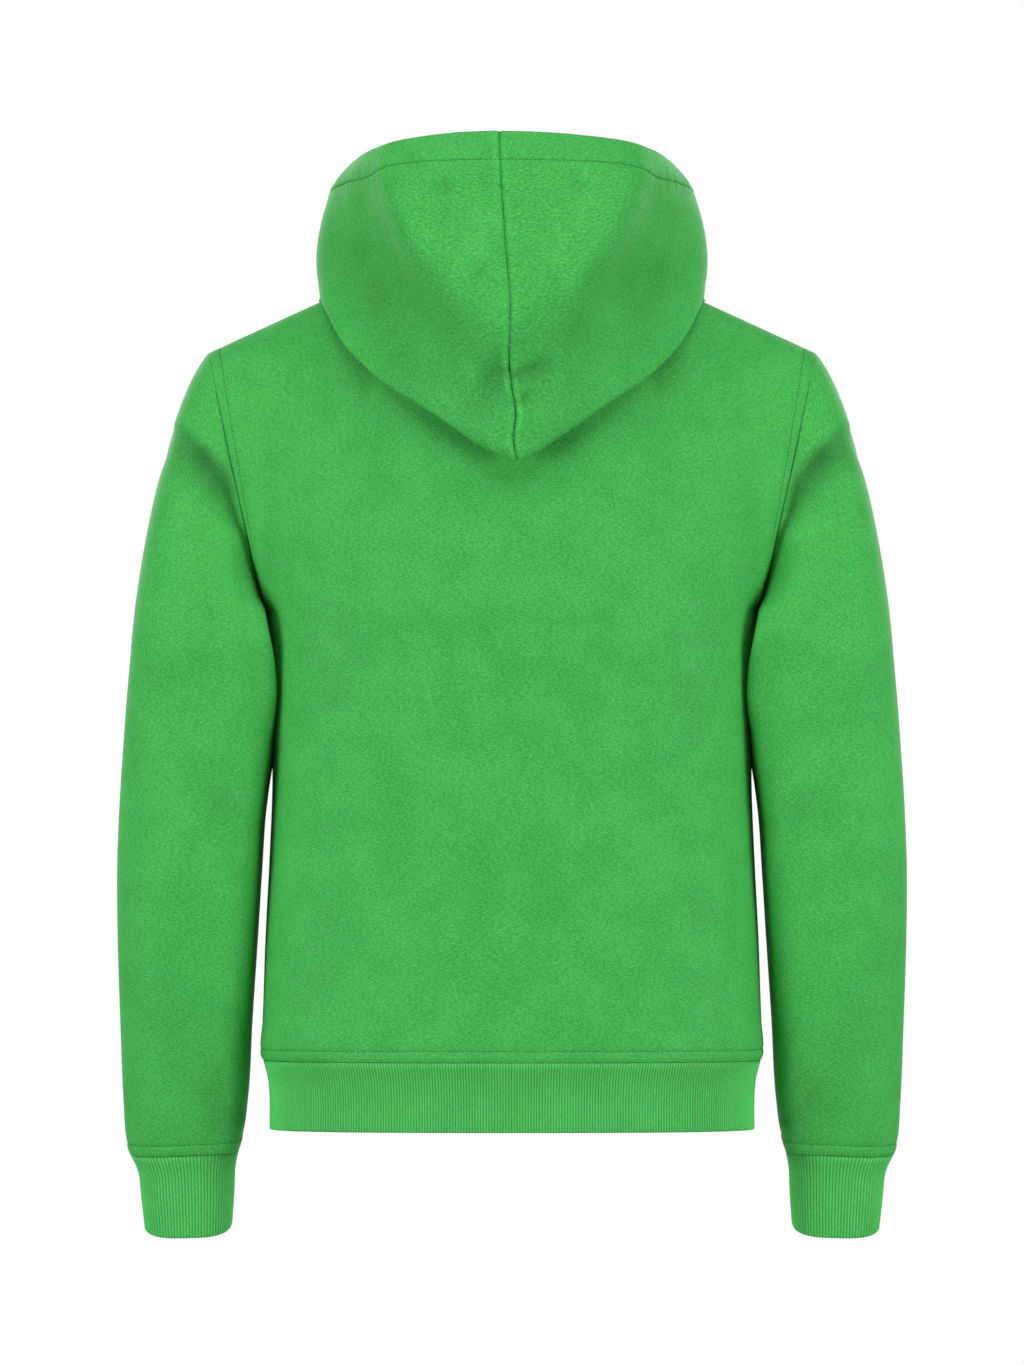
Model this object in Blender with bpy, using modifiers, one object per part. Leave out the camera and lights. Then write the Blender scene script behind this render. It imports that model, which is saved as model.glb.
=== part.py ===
"""Pullover hoodie in brushed sweatshirt fleece, hood down, filled out as worn with nobody in it.

Metres, +Z up. The origin is the middle of the neck, level with the tops of the shoulder seams.
The front faces -Y, the back +Y, and the wearer's left is +X. Every piece is the outer face of its
cloth as an open grid, given its wall inwards, and neighbouring pieces end a seam gap apart.
"""

import bmesh
import bpy
import numpy as np
from mathutils import Vector
from mathutils.bvhtree import BVHTree

FLEECE_WALL = 0.002
HOOD_WALL = 0.0022
RIB_WALL = 0.003
SEAM_GAP = 0.0003
LAY_GAP = 0.0022           # the hood lies this far off the body, and its facets less

GREEN_FLEECE = (0.079, 0.451, 0.103, 1.0)
GREEN_RIB = (0.072, 0.418, 0.093, 1.0)

BACK, FRONT = 1, -1
LEFT, RIGHT = 1, -1
SIDE_NAMES = {LEFT: "left", RIGHT: "right"}


def table(columns, *rows):
    """A dictionary of named columns; the first one is what the others are looked up by."""
    return dict(zip(columns.split(), np.array(rows, float).T))


def look_up(rows, column, at, level_ends=False):
    """The column's value at `at` in the first column, on a smooth curve through the rows."""
    keys = next(iter(rows.values()))
    values = rows[column]
    slopes = np.gradient(values, keys)
    if level_ends:
        slopes[[0, -1]] = 0
    at = np.clip(at, min(keys[0], keys[-1]), max(keys[0], keys[-1]))
    place = np.interp(at, np.sort(keys), np.arange(len(keys)))
    if keys[0] > keys[-1]:
        place = len(keys) - 1 - place
    low = np.clip(place.astype(int) if isinstance(place, np.ndarray) else int(place), 0, len(keys) - 2)
    step = keys[low + 1] - keys[low]
    return hermite(values[low], slopes[low] * step, values[low + 1], slopes[low + 1] * step, place - low)


def hermite(start, leave, end, arrive, at):
    """Cubic from start to end that leaves and arrives with the given tangents."""
    back = 1 - at
    return (
        (1 + 2 * at) * back**2 * start
        + at * back**2 * leave
        + at**2 * (3 - 2 * at) * end
        - at**2 * back * arrive
    )


def smooth_step(low, high, at):
    share = np.clip((at - low) / (high - low), 0, 1)
    return share * share * (3 - 2 * share)


def vector(x, y, z):
    return np.stack(np.broadcast_arrays(x, y, z), axis=-1).astype(float)


# ---- Body: back and front panels --------------------------------------------------------------

# Outer half width, and depth from the side seams to the back and the front, at each height.
BODY = table(
    "height half_width back front",
    (-0.6145, 0.1922, 0.108, 0.109),
    (-0.6070, 0.1938, 0.110, 0.111),
    (-0.5850, 0.1927, 0.110, 0.112),
    (-0.5230, 0.1906, 0.109, 0.114),
    (-0.4600, 0.1875, 0.108, 0.117),
    (-0.4000, 0.1853, 0.109, 0.119),
    (-0.3400, 0.1862, 0.114, 0.121),
    (-0.2700, 0.1905, 0.120, 0.122),
)
HEM_SEAM, UNDERARM = BODY["height"][0], BODY["height"][-1]
BODY_POWER = 0.74          # under 1 squares the round section off a little
SHOULDER_TOP = (0.085, 0.0, 0.002)
SHOULDER_TIP = (0.235, 0.0, -0.067)
NECK_SHARE = 0.40          # share of a half panel's top edge that is neckline, the rest is shoulder
PANEL_RISE = 0.26          # pull of the cloth up from the underarm level
ARMHOLE_REACH = {BACK: 0.250, FRONT: 0.240}
SIDE_TURN = 0.6            # share across from which the cloth turns towards the armhole
CENTRE_PULL, SHOULDER_PULL = 0.05, 0.17   # how strongly it arrives at the top edge, inwards
CENTRE_LIFT = 0.10         # and upwards at the middle of the neck

# The neckline, by the angle round the neck from the centre back.
NECKLINE = table(
    "angle radius height",
    (0, 0.070, -0.018),
    (45, 0.076, -0.010),
    (90, 0.085, 0.002),
    (135, 0.083, -0.038),
    (180, 0.080, -0.075),
)


def ring_line(rows, angle):
    """Radius and height of a line round the neck, the same on both sides of its two ends."""
    columns = ("radius", "height")
    return np.stack([look_up(rows, column, angle, level_ends=True) for column in columns], axis=-1)


def body_section(face, across, height):
    """Point of the lower body: across runs 0 at the centre line to 1 at the side seam."""
    turn = across * np.pi / 2
    depth = look_up(BODY, "back" if face == BACK else "front", height)
    x = look_up(BODY, "half_width", height) * np.sin(turn) ** BODY_POWER
    y = face * depth * np.clip(np.cos(turn), 0, 1) ** BODY_POWER
    return vector(x, y, height)


def panel_top(face, across):
    """The half panel's top edge: neckline, then shoulder seam out to the tip."""
    turn = np.clip(across / NECK_SHARE, 0, 1) * 90
    angle = turn if face == BACK else 180 - turn
    radius, height = np.moveaxis(ring_line(NECKLINE, angle), -1, 0)
    neck = vector(radius * np.sin(np.radians(angle)), radius * np.cos(np.radians(angle)), height)
    share = np.clip((across - NECK_SHARE) / (1 - NECK_SHARE), 0, 1)
    shoulder = (1 - share)[..., None] * np.array(SHOULDER_TOP) + share[..., None] * np.array(SHOULDER_TIP)
    return np.where((across <= NECK_SHARE)[..., None], neck, shoulder)


def panel_top_pull(face, across):
    """Direction and strength with which the cloth arrives at the panel's top edge."""
    neck = np.clip(across / NECK_SHARE, 0, 1)
    share = smooth_step(NECK_SHARE, 1, across)
    inwards = CENTRE_PULL + (SHOULDER_PULL - CENTRE_PULL) * neck
    inwards = inwards + (ARMHOLE_REACH[face] - SHOULDER_PULL) * share
    upwards = CENTRE_LIFT * (1 - neck)
    return vector(0, -face * inwards, upwards)


def body_point(face, across, up):
    """Point of a panel: up runs 0 at the hem seam, 1 at underarm level, 2 at neck and shoulder."""
    lower = body_section(face, across, HEM_SEAM + np.clip(up, 0, 1) * (UNDERARM - HEM_SEAM))
    step = 0.01
    base = body_section(face, across, UNDERARM)
    slope = (base - body_section(face, across, UNDERARM - step)) / step
    turned = smooth_step(SIDE_TURN, 1, across)[..., None]
    leave = (1 - turned) * PANEL_RISE * slope + turned * np.array((0, face * ARMHOLE_REACH[face], 0))
    upper = hermite(
        base, leave, panel_top(face, across), panel_top_pull(face, across), np.clip(up - 1, 0, 1)[..., None]
    )
    point = np.where((up <= 1)[..., None], lower, upper)
    return point + np.array((0, face * SEAM_GAP / 2, 0))


def body_panel(face, half_columns, heights):
    """Rows x columns of a whole panel, from the wearer's right side seam to the left one."""
    across = np.concatenate((-half_columns[:0:-1], half_columns))
    row, column = np.meshgrid(heights, across, indexing="ij")
    points = body_point(face, np.abs(column), row)
    points[..., 0] *= np.where(column < 0, -1, 1)
    return points


# ---- Sleeves ------------------------------------------------------------------------------------

# Outer faces of a hanging sleeve: x next to the body and outside, its middle and half depth in y,
# and how much lower its back (tilt) and its outside (lean) lie, for each metre from its middle.
SLEEVE = table(
    "height inner outer middle half_depth tilt lean",
    (-0.3000, 0.1843, 0.2942, 0.010, 0.078, 0.00, 0.00),
    (-0.3400, 0.1808, 0.2979, 0.006, 0.075, 0.00, 0.00),
    (-0.3760, 0.1831, 0.3006, 0.004, 0.072, 0.01, 0.00),
    (-0.4000, 0.1877, 0.3023, 0.003, 0.070, 0.02, 0.00),
    (-0.4300, 0.1917, 0.3039, 0.001, 0.068, 0.03, 0.00),
    (-0.4610, 0.1937, 0.3051, -0.001, 0.066, 0.04, 0.00),
    (-0.5230, 0.1976, 0.3049, -0.007, 0.061, 0.06, 0.00),
    (-0.5850, 0.2017, 0.3032, -0.013, 0.055, 0.08, 0.01),
    (-0.6470, 0.2053, 0.3009, -0.019, 0.048, 0.09, 0.02),
    (-0.6780, 0.2084, 0.2992, -0.022, 0.043, 0.10, 0.03),
    (-0.6915, 0.2116, 0.2964, -0.023, 0.040, 0.10, 0.03),
)
BICEP, CUFF_SEAM = SLEEVE["height"][0], SLEEVE["height"][-1]
SLEEVE_POWER = 0.68
BESIDE_BODY = 0.0012       # the sleeve hangs this far off the body's side
CAP_GAP = 0.0010           # more gap outside where the sleeve turns down, so that the insides clear,
CAP_TURN = 0.30            # within this share of the way round from the shoulder tip
CAP_LEAVE = (0.37, -0.11, -0.39)
CAP_ARRIVE = (0.065, 0.0, -1.0)

# Soft folds where the sleeve meets the armhole: from a point (x, z) to a point (x, z), on the back
# or the front, so deep, and so wide on the upper side and on the lower one.
SLEEVE_FOLDS = table(
    "face x0 z0 x1 z1 depth above below",
    (BACK, 0.247, -0.138, 0.206, -0.194, 0.0080, 0.008, 0.017),
    (BACK, 0.230, -0.210, 0.199, -0.240, 0.0045, 0.008, 0.012),
    (FRONT, 0.250, -0.148, 0.208, -0.204, 0.0070, 0.008, 0.016),
    (FRONT, 0.236, -0.208, 0.208, -0.228, 0.0040, 0.008, 0.012),
)


def body_side(y, height):
    """How far out the body's side is at this depth and height."""
    depth = np.where(y > 0, look_up(BODY, "back", height), look_up(BODY, "front", height))
    share = np.clip(np.abs(y) / depth, 0, 1) ** (2 / BODY_POWER)
    return look_up(BODY, "half_width", height) * (1 - share) ** (BODY_POWER / 2)


def tube_point(rows, power, around, height):
    """Point of a hanging tube: around runs 0 outside, 1/4 back, 1/2 next to the body, 3/4 front."""
    turn = around * 2 * np.pi
    inner, outer = look_up(rows, "inner", height), look_up(rows, "outer", height)
    half = (outer - inner) / 2
    x = (inner + outer) / 2 + half * np.sign(np.cos(turn)) * np.abs(np.cos(turn)) ** power
    out = look_up(rows, "half_depth", height) * np.sign(np.sin(turn)) * np.abs(np.sin(turn)) ** power
    z = height - look_up(rows, "tilt", height) * out
    z = z - look_up(rows, "lean", height) * (x - (inner + outer) / 2)
    return vector(x, look_up(rows, "middle", height) + out, z)


def armhole_point(around):
    """Point of the armhole, turned as the sleeve's rings are, starting at the shoulder tip."""
    back = body_point(BACK, np.ones_like(around), 2 - 2 * around)
    front = body_point(FRONT, np.ones_like(around), 2 * around)
    return np.where((around <= 0.5)[..., None], back, front)


def sleeve_point(around, down):
    """Point of the left sleeve: down runs 0 at the armhole, 1 at the bicep, 2 at the cuff seam."""
    turning = smooth_step(CAP_TURN, 0, np.minimum(around, 1 - around))
    start = armhole_point(around) + vector(SEAM_GAP + CAP_GAP * turning, 0, 0)
    bicep = tube_point(SLEEVE, SLEEVE_POWER, around, np.full_like(around, BICEP))
    length = (start[..., 2] - bicep[..., 2])[..., None]
    lean = vector(CAP_LEAVE[0], CAP_LEAVE[1] * np.sin(around * 2 * np.pi), CAP_LEAVE[2])
    share = np.clip(down, 0, 1)[..., None]
    cap = hermite(start, lean * length, bicep, np.array(CAP_ARRIVE) * length, share)
    height = BICEP + np.clip(down - 1, 0, 1) * (CUFF_SEAM - BICEP)
    point = np.where((down <= 1)[..., None], cap, tube_point(SLEEVE, SLEEVE_POWER, around, height))
    beside = body_side(point[..., 1], np.minimum(point[..., 2], UNDERARM)) + BESIDE_BODY
    below = smooth_step(UNDERARM + 0.004, UNDERARM - 0.02, point[..., 2])
    point[..., 0] = np.maximum(point[..., 0], np.where(below > 0, beside, 0))
    return point


def grid_normals(points):
    """Outward normals of a grid whose rows run down a tube and whose columns run outside to back."""
    along, around = np.gradient(points, axis=0), np.gradient(points, axis=1)
    normal = np.cross(along, around)
    return normal / np.maximum(np.linalg.norm(normal, axis=-1, keepdims=True), 1e-9)


def pressed_folds(points, outwards, folds):
    """The points pushed in along each fold, by a smooth trough that fades at its ends."""
    sink = np.zeros(points.shape[:2])
    for face, x0, z0, x1, z1, depth, above, below in zip(*folds.values()):
        start, run = np.array((x0, z0)), np.array((x1 - x0, z1 - z0))
        offset = points[..., [0, 2]] - start
        share = np.clip((offset @ run) / (run @ run), 0, 1)
        off_line = offset - share[..., None] * run
        away = np.linalg.norm(off_line, axis=-1)
        width = np.where(off_line[..., 1] > 0, above, below)
        sink += np.where(points[..., 1] * face > 0, depth * np.exp(-((away / width) ** 2)), 0)
    return points - outwards * sink[..., None]


def sleeve_grid(columns, steps):
    down, around = np.meshgrid(steps, np.linspace(0, 1, columns + 1), indexing="ij")
    points = sleeve_point(around, down)
    points = pressed_folds(points, grid_normals(points), SLEEVE_FOLDS)
    points[:, -1] = points[:, 0]
    return points


# ---- Hood -----------------------------------------------------------------------------------------

# Each line runs round the neck by the angle from the centre back. The cloth leaves the neck seam,
# stands, rolls over, falls to the fold, and comes up outside past waist, belly and crown to the
# opening. The belly is the ridge that parts the middle from the sides, and the bulge is how far the
# cloth swells out between crown and opening, as a share of the way between them.
FOLD = table(
    "angle radius height",
    (0, 0.134, -0.1575),
    (8, 0.134, -0.1540),
    (18, 0.1345, -0.1425),
    (32, 0.1365, -0.1220),
    (46, 0.1405, -0.1000),
    (60, 0.1450, -0.0725),
    (82, 0.1480, -0.0300),
    (100, 0.1430, -0.0340),
    (120, 0.1300, -0.0560),
    (145, 0.1140, -0.0800),
    (165, 0.0980, -0.0900),
    (180, 0.0870, -0.0860),
)
WAIST = table(
    "angle radius height",
    (0, 0.1510, -0.1080),
    (10, 0.1500, -0.0980),
    (20, 0.1430, -0.0800),
    (33, 0.1350, -0.0560),
    (45, 0.1325, -0.0500),
    (60, 0.1380, -0.0430),
    (82, 0.1500, -0.0140),
    (110, 0.1430, -0.0280),
    (140, 0.1225, -0.0580),
    (165, 0.1005, -0.0810),
    (180, 0.0885, -0.0820),
)
BELLY = table(
    "angle radius height",
    (0, 0.1735, -0.0620),
    (10, 0.1760, -0.0400),
    (20, 0.1795, -0.0080),
    (26, 0.1805, 0.0200),
    (33, 0.1725, 0.0400),
    (45, 0.1520, 0.0320),
    (60, 0.1455, 0.0180),
    (82, 0.1520, 0.0060),
    (110, 0.1450, -0.0100),
    (140, 0.1240, -0.0400),
    (165, 0.1010, -0.0720),
    (180, 0.0885, -0.0780),
)
CROWN = table(
    "angle radius height",
    (0, 0.1590, 0.0250),
    (10, 0.1615, 0.0280),
    (20, 0.1680, 0.0370),
    (26, 0.1725, 0.0470),
    (33, 0.1710, 0.0570),
    (45, 0.1555, 0.0580),
    (60, 0.1465, 0.0520),
    (82, 0.1455, 0.0450),
    (110, 0.1340, 0.0220),
    (140, 0.1120, -0.0220),
    (165, 0.0920, -0.0600),
    (180, 0.0840, -0.0710),
)
OPENING = table(
    "angle radius height bulge",
    (0, 0.1430, 0.0890, 0.03),
    (20, 0.1500, 0.0857, 0.04),
    (33, 0.1580, 0.0810, 0.05),
    (45, 0.1480, 0.0785, 0.08),
    (60, 0.1340, 0.0775, 0.15),
    (82, 0.1275, 0.0715, 0.17),
    (110, 0.1130, 0.0400, 0.14),
    (140, 0.0950, -0.0110, 0.10),
    (165, 0.0830, -0.0540, 0.08),
    (180, 0.0795, -0.0680, 0.06),
)
NECK_GAP = 0.0009                     # up from the panels' neckline
STAND_IN, STAND_RISE = 0.002, 0.014
ROLL_OUT, ROLL_RISE = 0.009, 0.024
FALL_OUT, FALL_RISE = 0.021, 0.013
FOLD_IN, FOLD_RISE = 0.014, 0.012     # from the lowest line back to where the cloth lies on the body
HOOD_END = 179.7                      # the halves meet in front at this angle
FRONT_FROM, FRONT_SHARE = 105, 0.14   # roll and fall shrink to this share from this angle to the front
NECK_STEP = 15                        # degrees between columns, of the panels' necklines too
SEAM_COLUMN = 3                       # a close column keeps the wall square to the centre seam
HOOD_GAP = 0.0006                     # between the halves

# How far the centre seam strays to the wearer's left, by height.
SEAM_SWAY = table(
    "height sway",
    (-0.160, -0.0040),
    (-0.145, -0.0010),
    (-0.128, -0.0030),
    (-0.100, 0.0010),
    (-0.040, 0.0015),
    (0.010, 0.0055),
    (0.060, 0.0085),
    (0.095, 0.0100),
)
SWAY_REACH = 40                       # degrees from the seam within which the cloth follows it


def hood_lines(angle):
    """Radius and height of each line of the hood at these angles: lines x angles x 2."""
    neck, fold = ring_line(NECKLINE, angle), ring_line(FOLD, angle)
    waist, belly, crown, edge = (ring_line(rows, angle) for rows in (WAIST, BELLY, CROWN, OPENING))
    size = 1 - (1 - FRONT_SHARE) * smooth_step(FRONT_FROM, 180, angle)

    def off(line, out, rise):
        return line + np.stack((out * size, rise * size), axis=-1)

    bulge = look_up(OPENING, "bulge", angle, level_ends=True)
    brow = (crown + edge) / 2 + (edge - crown)[:, ::-1] * np.stack((bulge, -bulge), axis=-1)
    lowest = off(fold, -FOLD_IN, FOLD_RISE)
    fall = off(neck, FALL_OUT, FALL_RISE)
    return np.stack(
        (
            neck + np.array((0, NECK_GAP)),
            off(neck, -STAND_IN, STAND_RISE),
            off(neck, ROLL_OUT, ROLL_RISE),
            fall,
            (fall + lowest) / 2,
            lowest,
            fold,
            waist,
            belly,
            crown,
            brow,
            edge,
        )
    )


def through_lines(lines, places):
    """Points on smooth curves through the lines: place 2.5 is halfway from line 2 to line 3."""
    reach = np.linalg.norm(np.diff(lines, axis=0), axis=-1)
    knots = np.concatenate((np.zeros((1, lines.shape[1])), np.cumsum(reach, axis=0)))[..., None]
    pace = np.diff(lines, axis=0) / np.diff(knots, axis=0)
    slopes = np.empty_like(lines)
    slopes[0], slopes[-1] = pace[0], pace[-1]
    before, after = reach[:-1, :, None], reach[1:, :, None]
    slopes[1:-1] = (pace[:-1] * after + pace[1:] * before) / (before + after)
    points = []
    for place in places:
        low = min(int(place), len(lines) - 2)
        step = knots[low + 1] - knots[low]
        ends = (lines[low], slopes[low] * step, lines[low + 1], slopes[low + 1] * step)
        points.append(hermite(*ends, place - low))
    return np.stack(points)


def hood_grid(angles, places):
    """The left half: rows from the neck seam to the opening edge, columns from centre back to front."""
    shape = through_lines(hood_lines(angles), places)
    turn = np.radians(angles)
    x, y = shape[..., 0] * np.sin(turn), shape[..., 0] * np.cos(turn)
    return vector(x, y, shape[..., 1])


def laid_on(points, under, first_row, gap):
    """The points moved out of the body wherever they lie closer to it than the gap."""
    for row in range(first_row, len(points)):
        for column in range(points.shape[1]):
            spot = Vector(points[row, column])
            nearest, normal, _, _ = under.find_nearest(spot)
            short = gap - (spot - nearest).dot(normal)
            if short > 0 and (spot - nearest).length < 0.05:
                points[row, column] = spot + normal * short
    return points


def swayed(points, side):
    """The half moved sideways with the wandering centre seam."""
    angle = np.degrees(np.arctan2(points[..., 0], points[..., 1]))
    share = (1 - smooth_step(0, SWAY_REACH, angle)) * (points[..., 1] > 0)
    moved = points * np.array((side, 1, 1))
    moved[..., 0] += share * look_up(SEAM_SWAY, "sway", points[..., 2]) + side * HOOD_GAP / 2
    return moved


# ---- Ribbed hem and cuffs ----------------------------------------------------------------------

RIB_RELIEF = 0.0005
HEM_RIBS, CUFF_RIBS = 460, 98
HEM_SIDES, CUFF_SIDES = 120, 44        # flats round the plain rings

HEM_RIB = table(
    "height half_width back front",
    (-0.6678, 0.1872, 0.1020, 0.1040),
    (-0.6400, 0.1874, 0.1025, 0.1042),
    (-0.6290, 0.1884, 0.1038, 0.1052),
    (-0.6148, 0.1920, 0.1078, 0.1088),
)
CUFF = table(
    "height inner outer middle half_depth tilt lean",
    (-0.6918, 0.2117, 0.2963, -0.023, 0.0398, 0.10, 0.03),
    (-0.7040, 0.2147, 0.2902, -0.024, 0.0362, 0.11, 0.03),
    (-0.7160, 0.2155, 0.2880, -0.025, 0.0345, 0.18, 0.02),
    (-0.7422, 0.2172, 0.2850, -0.027, 0.0330, 0.30, 0.02),
)


def hem_ring(height, count, inset, relief):
    """Closed ring of the hem rib, with every second point of a ribbed ring sunk by the relief."""
    turn = np.arange(count) / count * 2 * np.pi
    face = np.where(np.sin(turn) >= 0, BACK, FRONT)
    depth = np.where(face == BACK, look_up(HEM_RIB, "back", height), look_up(HEM_RIB, "front", height))
    sunk = inset + relief * (np.arange(count) % 2)
    x = (look_up(HEM_RIB, "half_width", height) - sunk) * np.sign(np.cos(turn))
    x *= np.abs(np.cos(turn)) ** BODY_POWER
    y = (depth - sunk) * face * np.abs(np.sin(turn)) ** BODY_POWER
    return vector(x, y, height)


def cuff_ring(height, count, inset, relief):
    around = np.arange(count) / count
    point = tube_point(CUFF, SLEEVE_POWER, around, np.full(count, height))
    middle = point.mean(axis=0)
    flat = (point - middle) * np.array((1, 1, 0))
    sunk = inset + relief * (np.arange(count) % 2)
    return point - flat / np.linalg.norm(flat, axis=1, keepdims=True) * sunk[:, None]


def rib_rings(ring, heights, ribs, sides):
    """Rings in order down the ribbed outside and back up the plain inside."""
    top, neck, bottom = heights
    return [
        ring(top, sides, 0.0, 0.0),
        ring(neck, 2 * ribs, 0.0, RIB_RELIEF),
        ring(bottom, 2 * ribs, 0.0, RIB_RELIEF),
        ring(bottom, sides, RIB_WALL, 0.0),
        ring(neck, sides, RIB_WALL, 0.0),
        ring(top, sides, RIB_WALL, 0.0),
    ]


# ---- Blender objects -----------------------------------------------------------------------------


def cleared_collection(name):
    for old in list(bpy.data.objects):
        bpy.data.objects.remove(old, do_unlink=True)
    group = bpy.data.collections.new(name)
    bpy.context.scene.collection.children.link(group)
    return group


def cloth_material(name, color, roughness):
    material = bpy.data.materials.new(name)
    material.use_nodes = True
    shader = material.node_tree.nodes["Principled BSDF"]
    shader.inputs["Base Color"].default_value = color
    shader.inputs["Roughness"].default_value = roughness
    shader.inputs["Metallic"].default_value = 0.0
    material.diffuse_color = color
    return material


def grid_mesh(points, tube=False, flip=False):
    """A bmesh grid shaped by rows x columns of points; a tube's last column joins its first."""
    rows, columns = points.shape[:2]
    grid = bmesh.new()
    bmesh.ops.create_grid(grid, x_segments=columns - 1, y_segments=rows - 1, size=1)
    for vertex in grid.verts:
        column = round((vertex.co.x + 1) / 2 * (columns - 1))
        row = round((vertex.co.y + 1) / 2 * (rows - 1))
        vertex.co = points[row, column]
    if tube:
        bmesh.ops.remove_doubles(grid, verts=grid.verts, dist=1e-6)
    if flip:
        bmesh.ops.reverse_faces(grid, faces=grid.faces)
    return grid


def add_piece(group, name, grid, material, wall=0.0):
    mesh = bpy.data.meshes.new(name)
    grid.to_mesh(mesh)
    grid.free()
    mesh.materials.append(material)
    mesh.shade_smooth()
    piece = bpy.data.objects.new(name, mesh)
    group.objects.link(piece)
    if wall:
        solidify = piece.modifiers.new("wall", "SOLIDIFY")
        solidify.thickness = wall
        solidify.offset = -1
        solidify.use_quality_normals = True
    return piece


def zip_rings(grid, upper, lower):
    """Fills between two rings of unlike counts with triangles, taking whichever step is behind."""
    done_upper = done_lower = 0
    while done_upper < len(upper) or done_lower < len(lower):
        a, b = upper[done_upper % len(upper)], lower[done_lower % len(lower)]
        behind = (done_upper + 0.5) / len(upper) <= (done_lower + 0.5) / len(lower)
        if done_lower == len(lower) or (behind and done_upper < len(upper)):
            done_upper += 1
            grid.faces.new((a, b, upper[done_upper % len(upper)]))
        else:
            done_lower += 1
            grid.faces.new((a, b, lower[done_lower % len(lower)]))


def ribbed_mesh(rings):
    """A closed wall lofted through the rings in turn, the last one back to the first."""
    grid = bmesh.new()
    loops = [[grid.verts.new(point) for point in ring] for ring in rings]
    for upper, lower in zip(loops, loops[1:] + loops[:1]):
        zip_rings(grid, upper, lower)
    bmesh.ops.recalc_face_normals(grid, faces=grid.faces)
    return grid


def mirrored(points, side):
    return points * np.array((side, 1, 1))


def body_tree():
    """The outer face of both panels, to lay the hood on."""
    heights = np.concatenate((np.linspace(0.7, 1, 4), np.linspace(1, 2, 41)[1:]))
    corners, faces = [], []
    for face in (BACK, FRONT):
        points = body_panel(face, np.linspace(0, 1, 31), heights)
        rows, columns = points.shape[:2]
        base = len(corners)
        corners.extend(Vector(point) for point in points.reshape(-1, 3))
        for row in range(rows - 1):
            for column in range(columns - 1):
                low = base + row * columns + column
                quad = (low, low + columns, low + columns + 1, low + 1)
                faces.append(quad if face == BACK else quad[::-1])
    return BVHTree.FromPolygons(corners, faces)


def body_columns():
    """The hood's columns round the neck, then some that crowd towards the armhole."""
    neck = np.concatenate(((0, SEAM_COLUMN), np.arange(NECK_STEP, 90, NECK_STEP))) / 90 * NECK_SHARE
    shoulder = NECK_SHARE + (1 - NECK_SHARE) * np.array((0, 0.2, 0.42, 0.64, 0.83, 0.95, 1))
    return np.concatenate((neck, shoulder))


def build_body(group, fleece):
    upper = 1 + np.array((0.1, 0.2, 0.32, 0.45, 0.58, 0.7, 0.81, 0.91, 0.985, 1))
    heights = np.concatenate(((0, 0.022, 0.085), np.linspace(0.22, 1, 7), upper))
    for name, face in (("back", BACK), ("front", FRONT)):
        points = body_panel(face, body_columns(), heights)
        add_piece(group, name, grid_mesh(points, flip=face == BACK), fleece, FLEECE_WALL)


def build_sleeves(group, fleece):
    tube = 1 + np.array((0.1, 0.2, 0.32, 0.45, 0.58, 0.71, 0.83, 0.92, 0.965, 1))
    steps = np.concatenate((np.linspace(0, 1, 11), tube))
    points = sleeve_grid(24, steps)
    for side, word in SIDE_NAMES.items():
        grid = grid_mesh(mirrored(points, side), tube=True, flip=side == LEFT)
        add_piece(group, f"sleeve_{word}", grid, fleece, FLEECE_WALL)


def build_hood(group, fleece):
    over_shoulder = (90 - NECK_STEP / 2, 90 + NECK_STEP / 2)
    seam_columns = (0, SEAM_COLUMN, 180 - SEAM_COLUMN, HOOD_END)
    angles = np.sort(np.concatenate((seam_columns, np.arange(NECK_STEP, 180, NECK_STEP), over_shoulder)))
    places = np.concatenate((np.linspace(0, 4, 7), (4.5, 5, 5.5, 6, 6.5, 7, 7.5, 8, 8.5, 9, 10, 11)))
    points = laid_on(hood_grid(angles, places), body_tree(), 2, LAY_GAP)
    for side, word in SIDE_NAMES.items():
        grid = grid_mesh(swayed(points, side), flip=side == LEFT)
        add_piece(group, f"hood_{word}", grid, fleece, HOOD_WALL)


def build_ribs(group, rib):
    hem_top, cuff_top = HEM_RIB["height"][-1], CUFF["height"][0]
    hem_heights = (hem_top, hem_top - 0.014, HEM_RIB["height"][0])
    add_piece(group, "hem_rib", ribbed_mesh(rib_rings(hem_ring, hem_heights, HEM_RIBS, HEM_SIDES)), rib)
    cuff_heights = (cuff_top, cuff_top - 0.013, CUFF["height"][-1])
    rings = rib_rings(cuff_ring, cuff_heights, CUFF_RIBS, CUFF_SIDES)
    for side, word in SIDE_NAMES.items():
        add_piece(group, f"cuff_{word}", ribbed_mesh([mirrored(ring, side) for ring in rings]), rib)


def main():
    group = cleared_collection("pullover_hoodie")
    fleece = cloth_material("brushed_fleece", GREEN_FLEECE, 0.92)
    rib = cloth_material("rib_knit", GREEN_RIB, 0.90)
    build_body(group, fleece)
    build_sleeves(group, fleece)
    build_hood(group, fleece)
    build_ribs(group, rib)


main()
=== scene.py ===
"""Looks of a green pullover hoodie: brushed fleece, ribbed hem and cuffs, seams and topstitching.

Metres, +Z up, the back faces +Y and the wearer's left is +X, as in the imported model. The sections
follow the garment as it is sewn: body, sleeves, hood, hem rib, cuffs, and the stitching on each.
"""

import bmesh
import bpy
import numpy as np
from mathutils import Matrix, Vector
from mathutils.bvhtree import BVHTree


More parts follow.
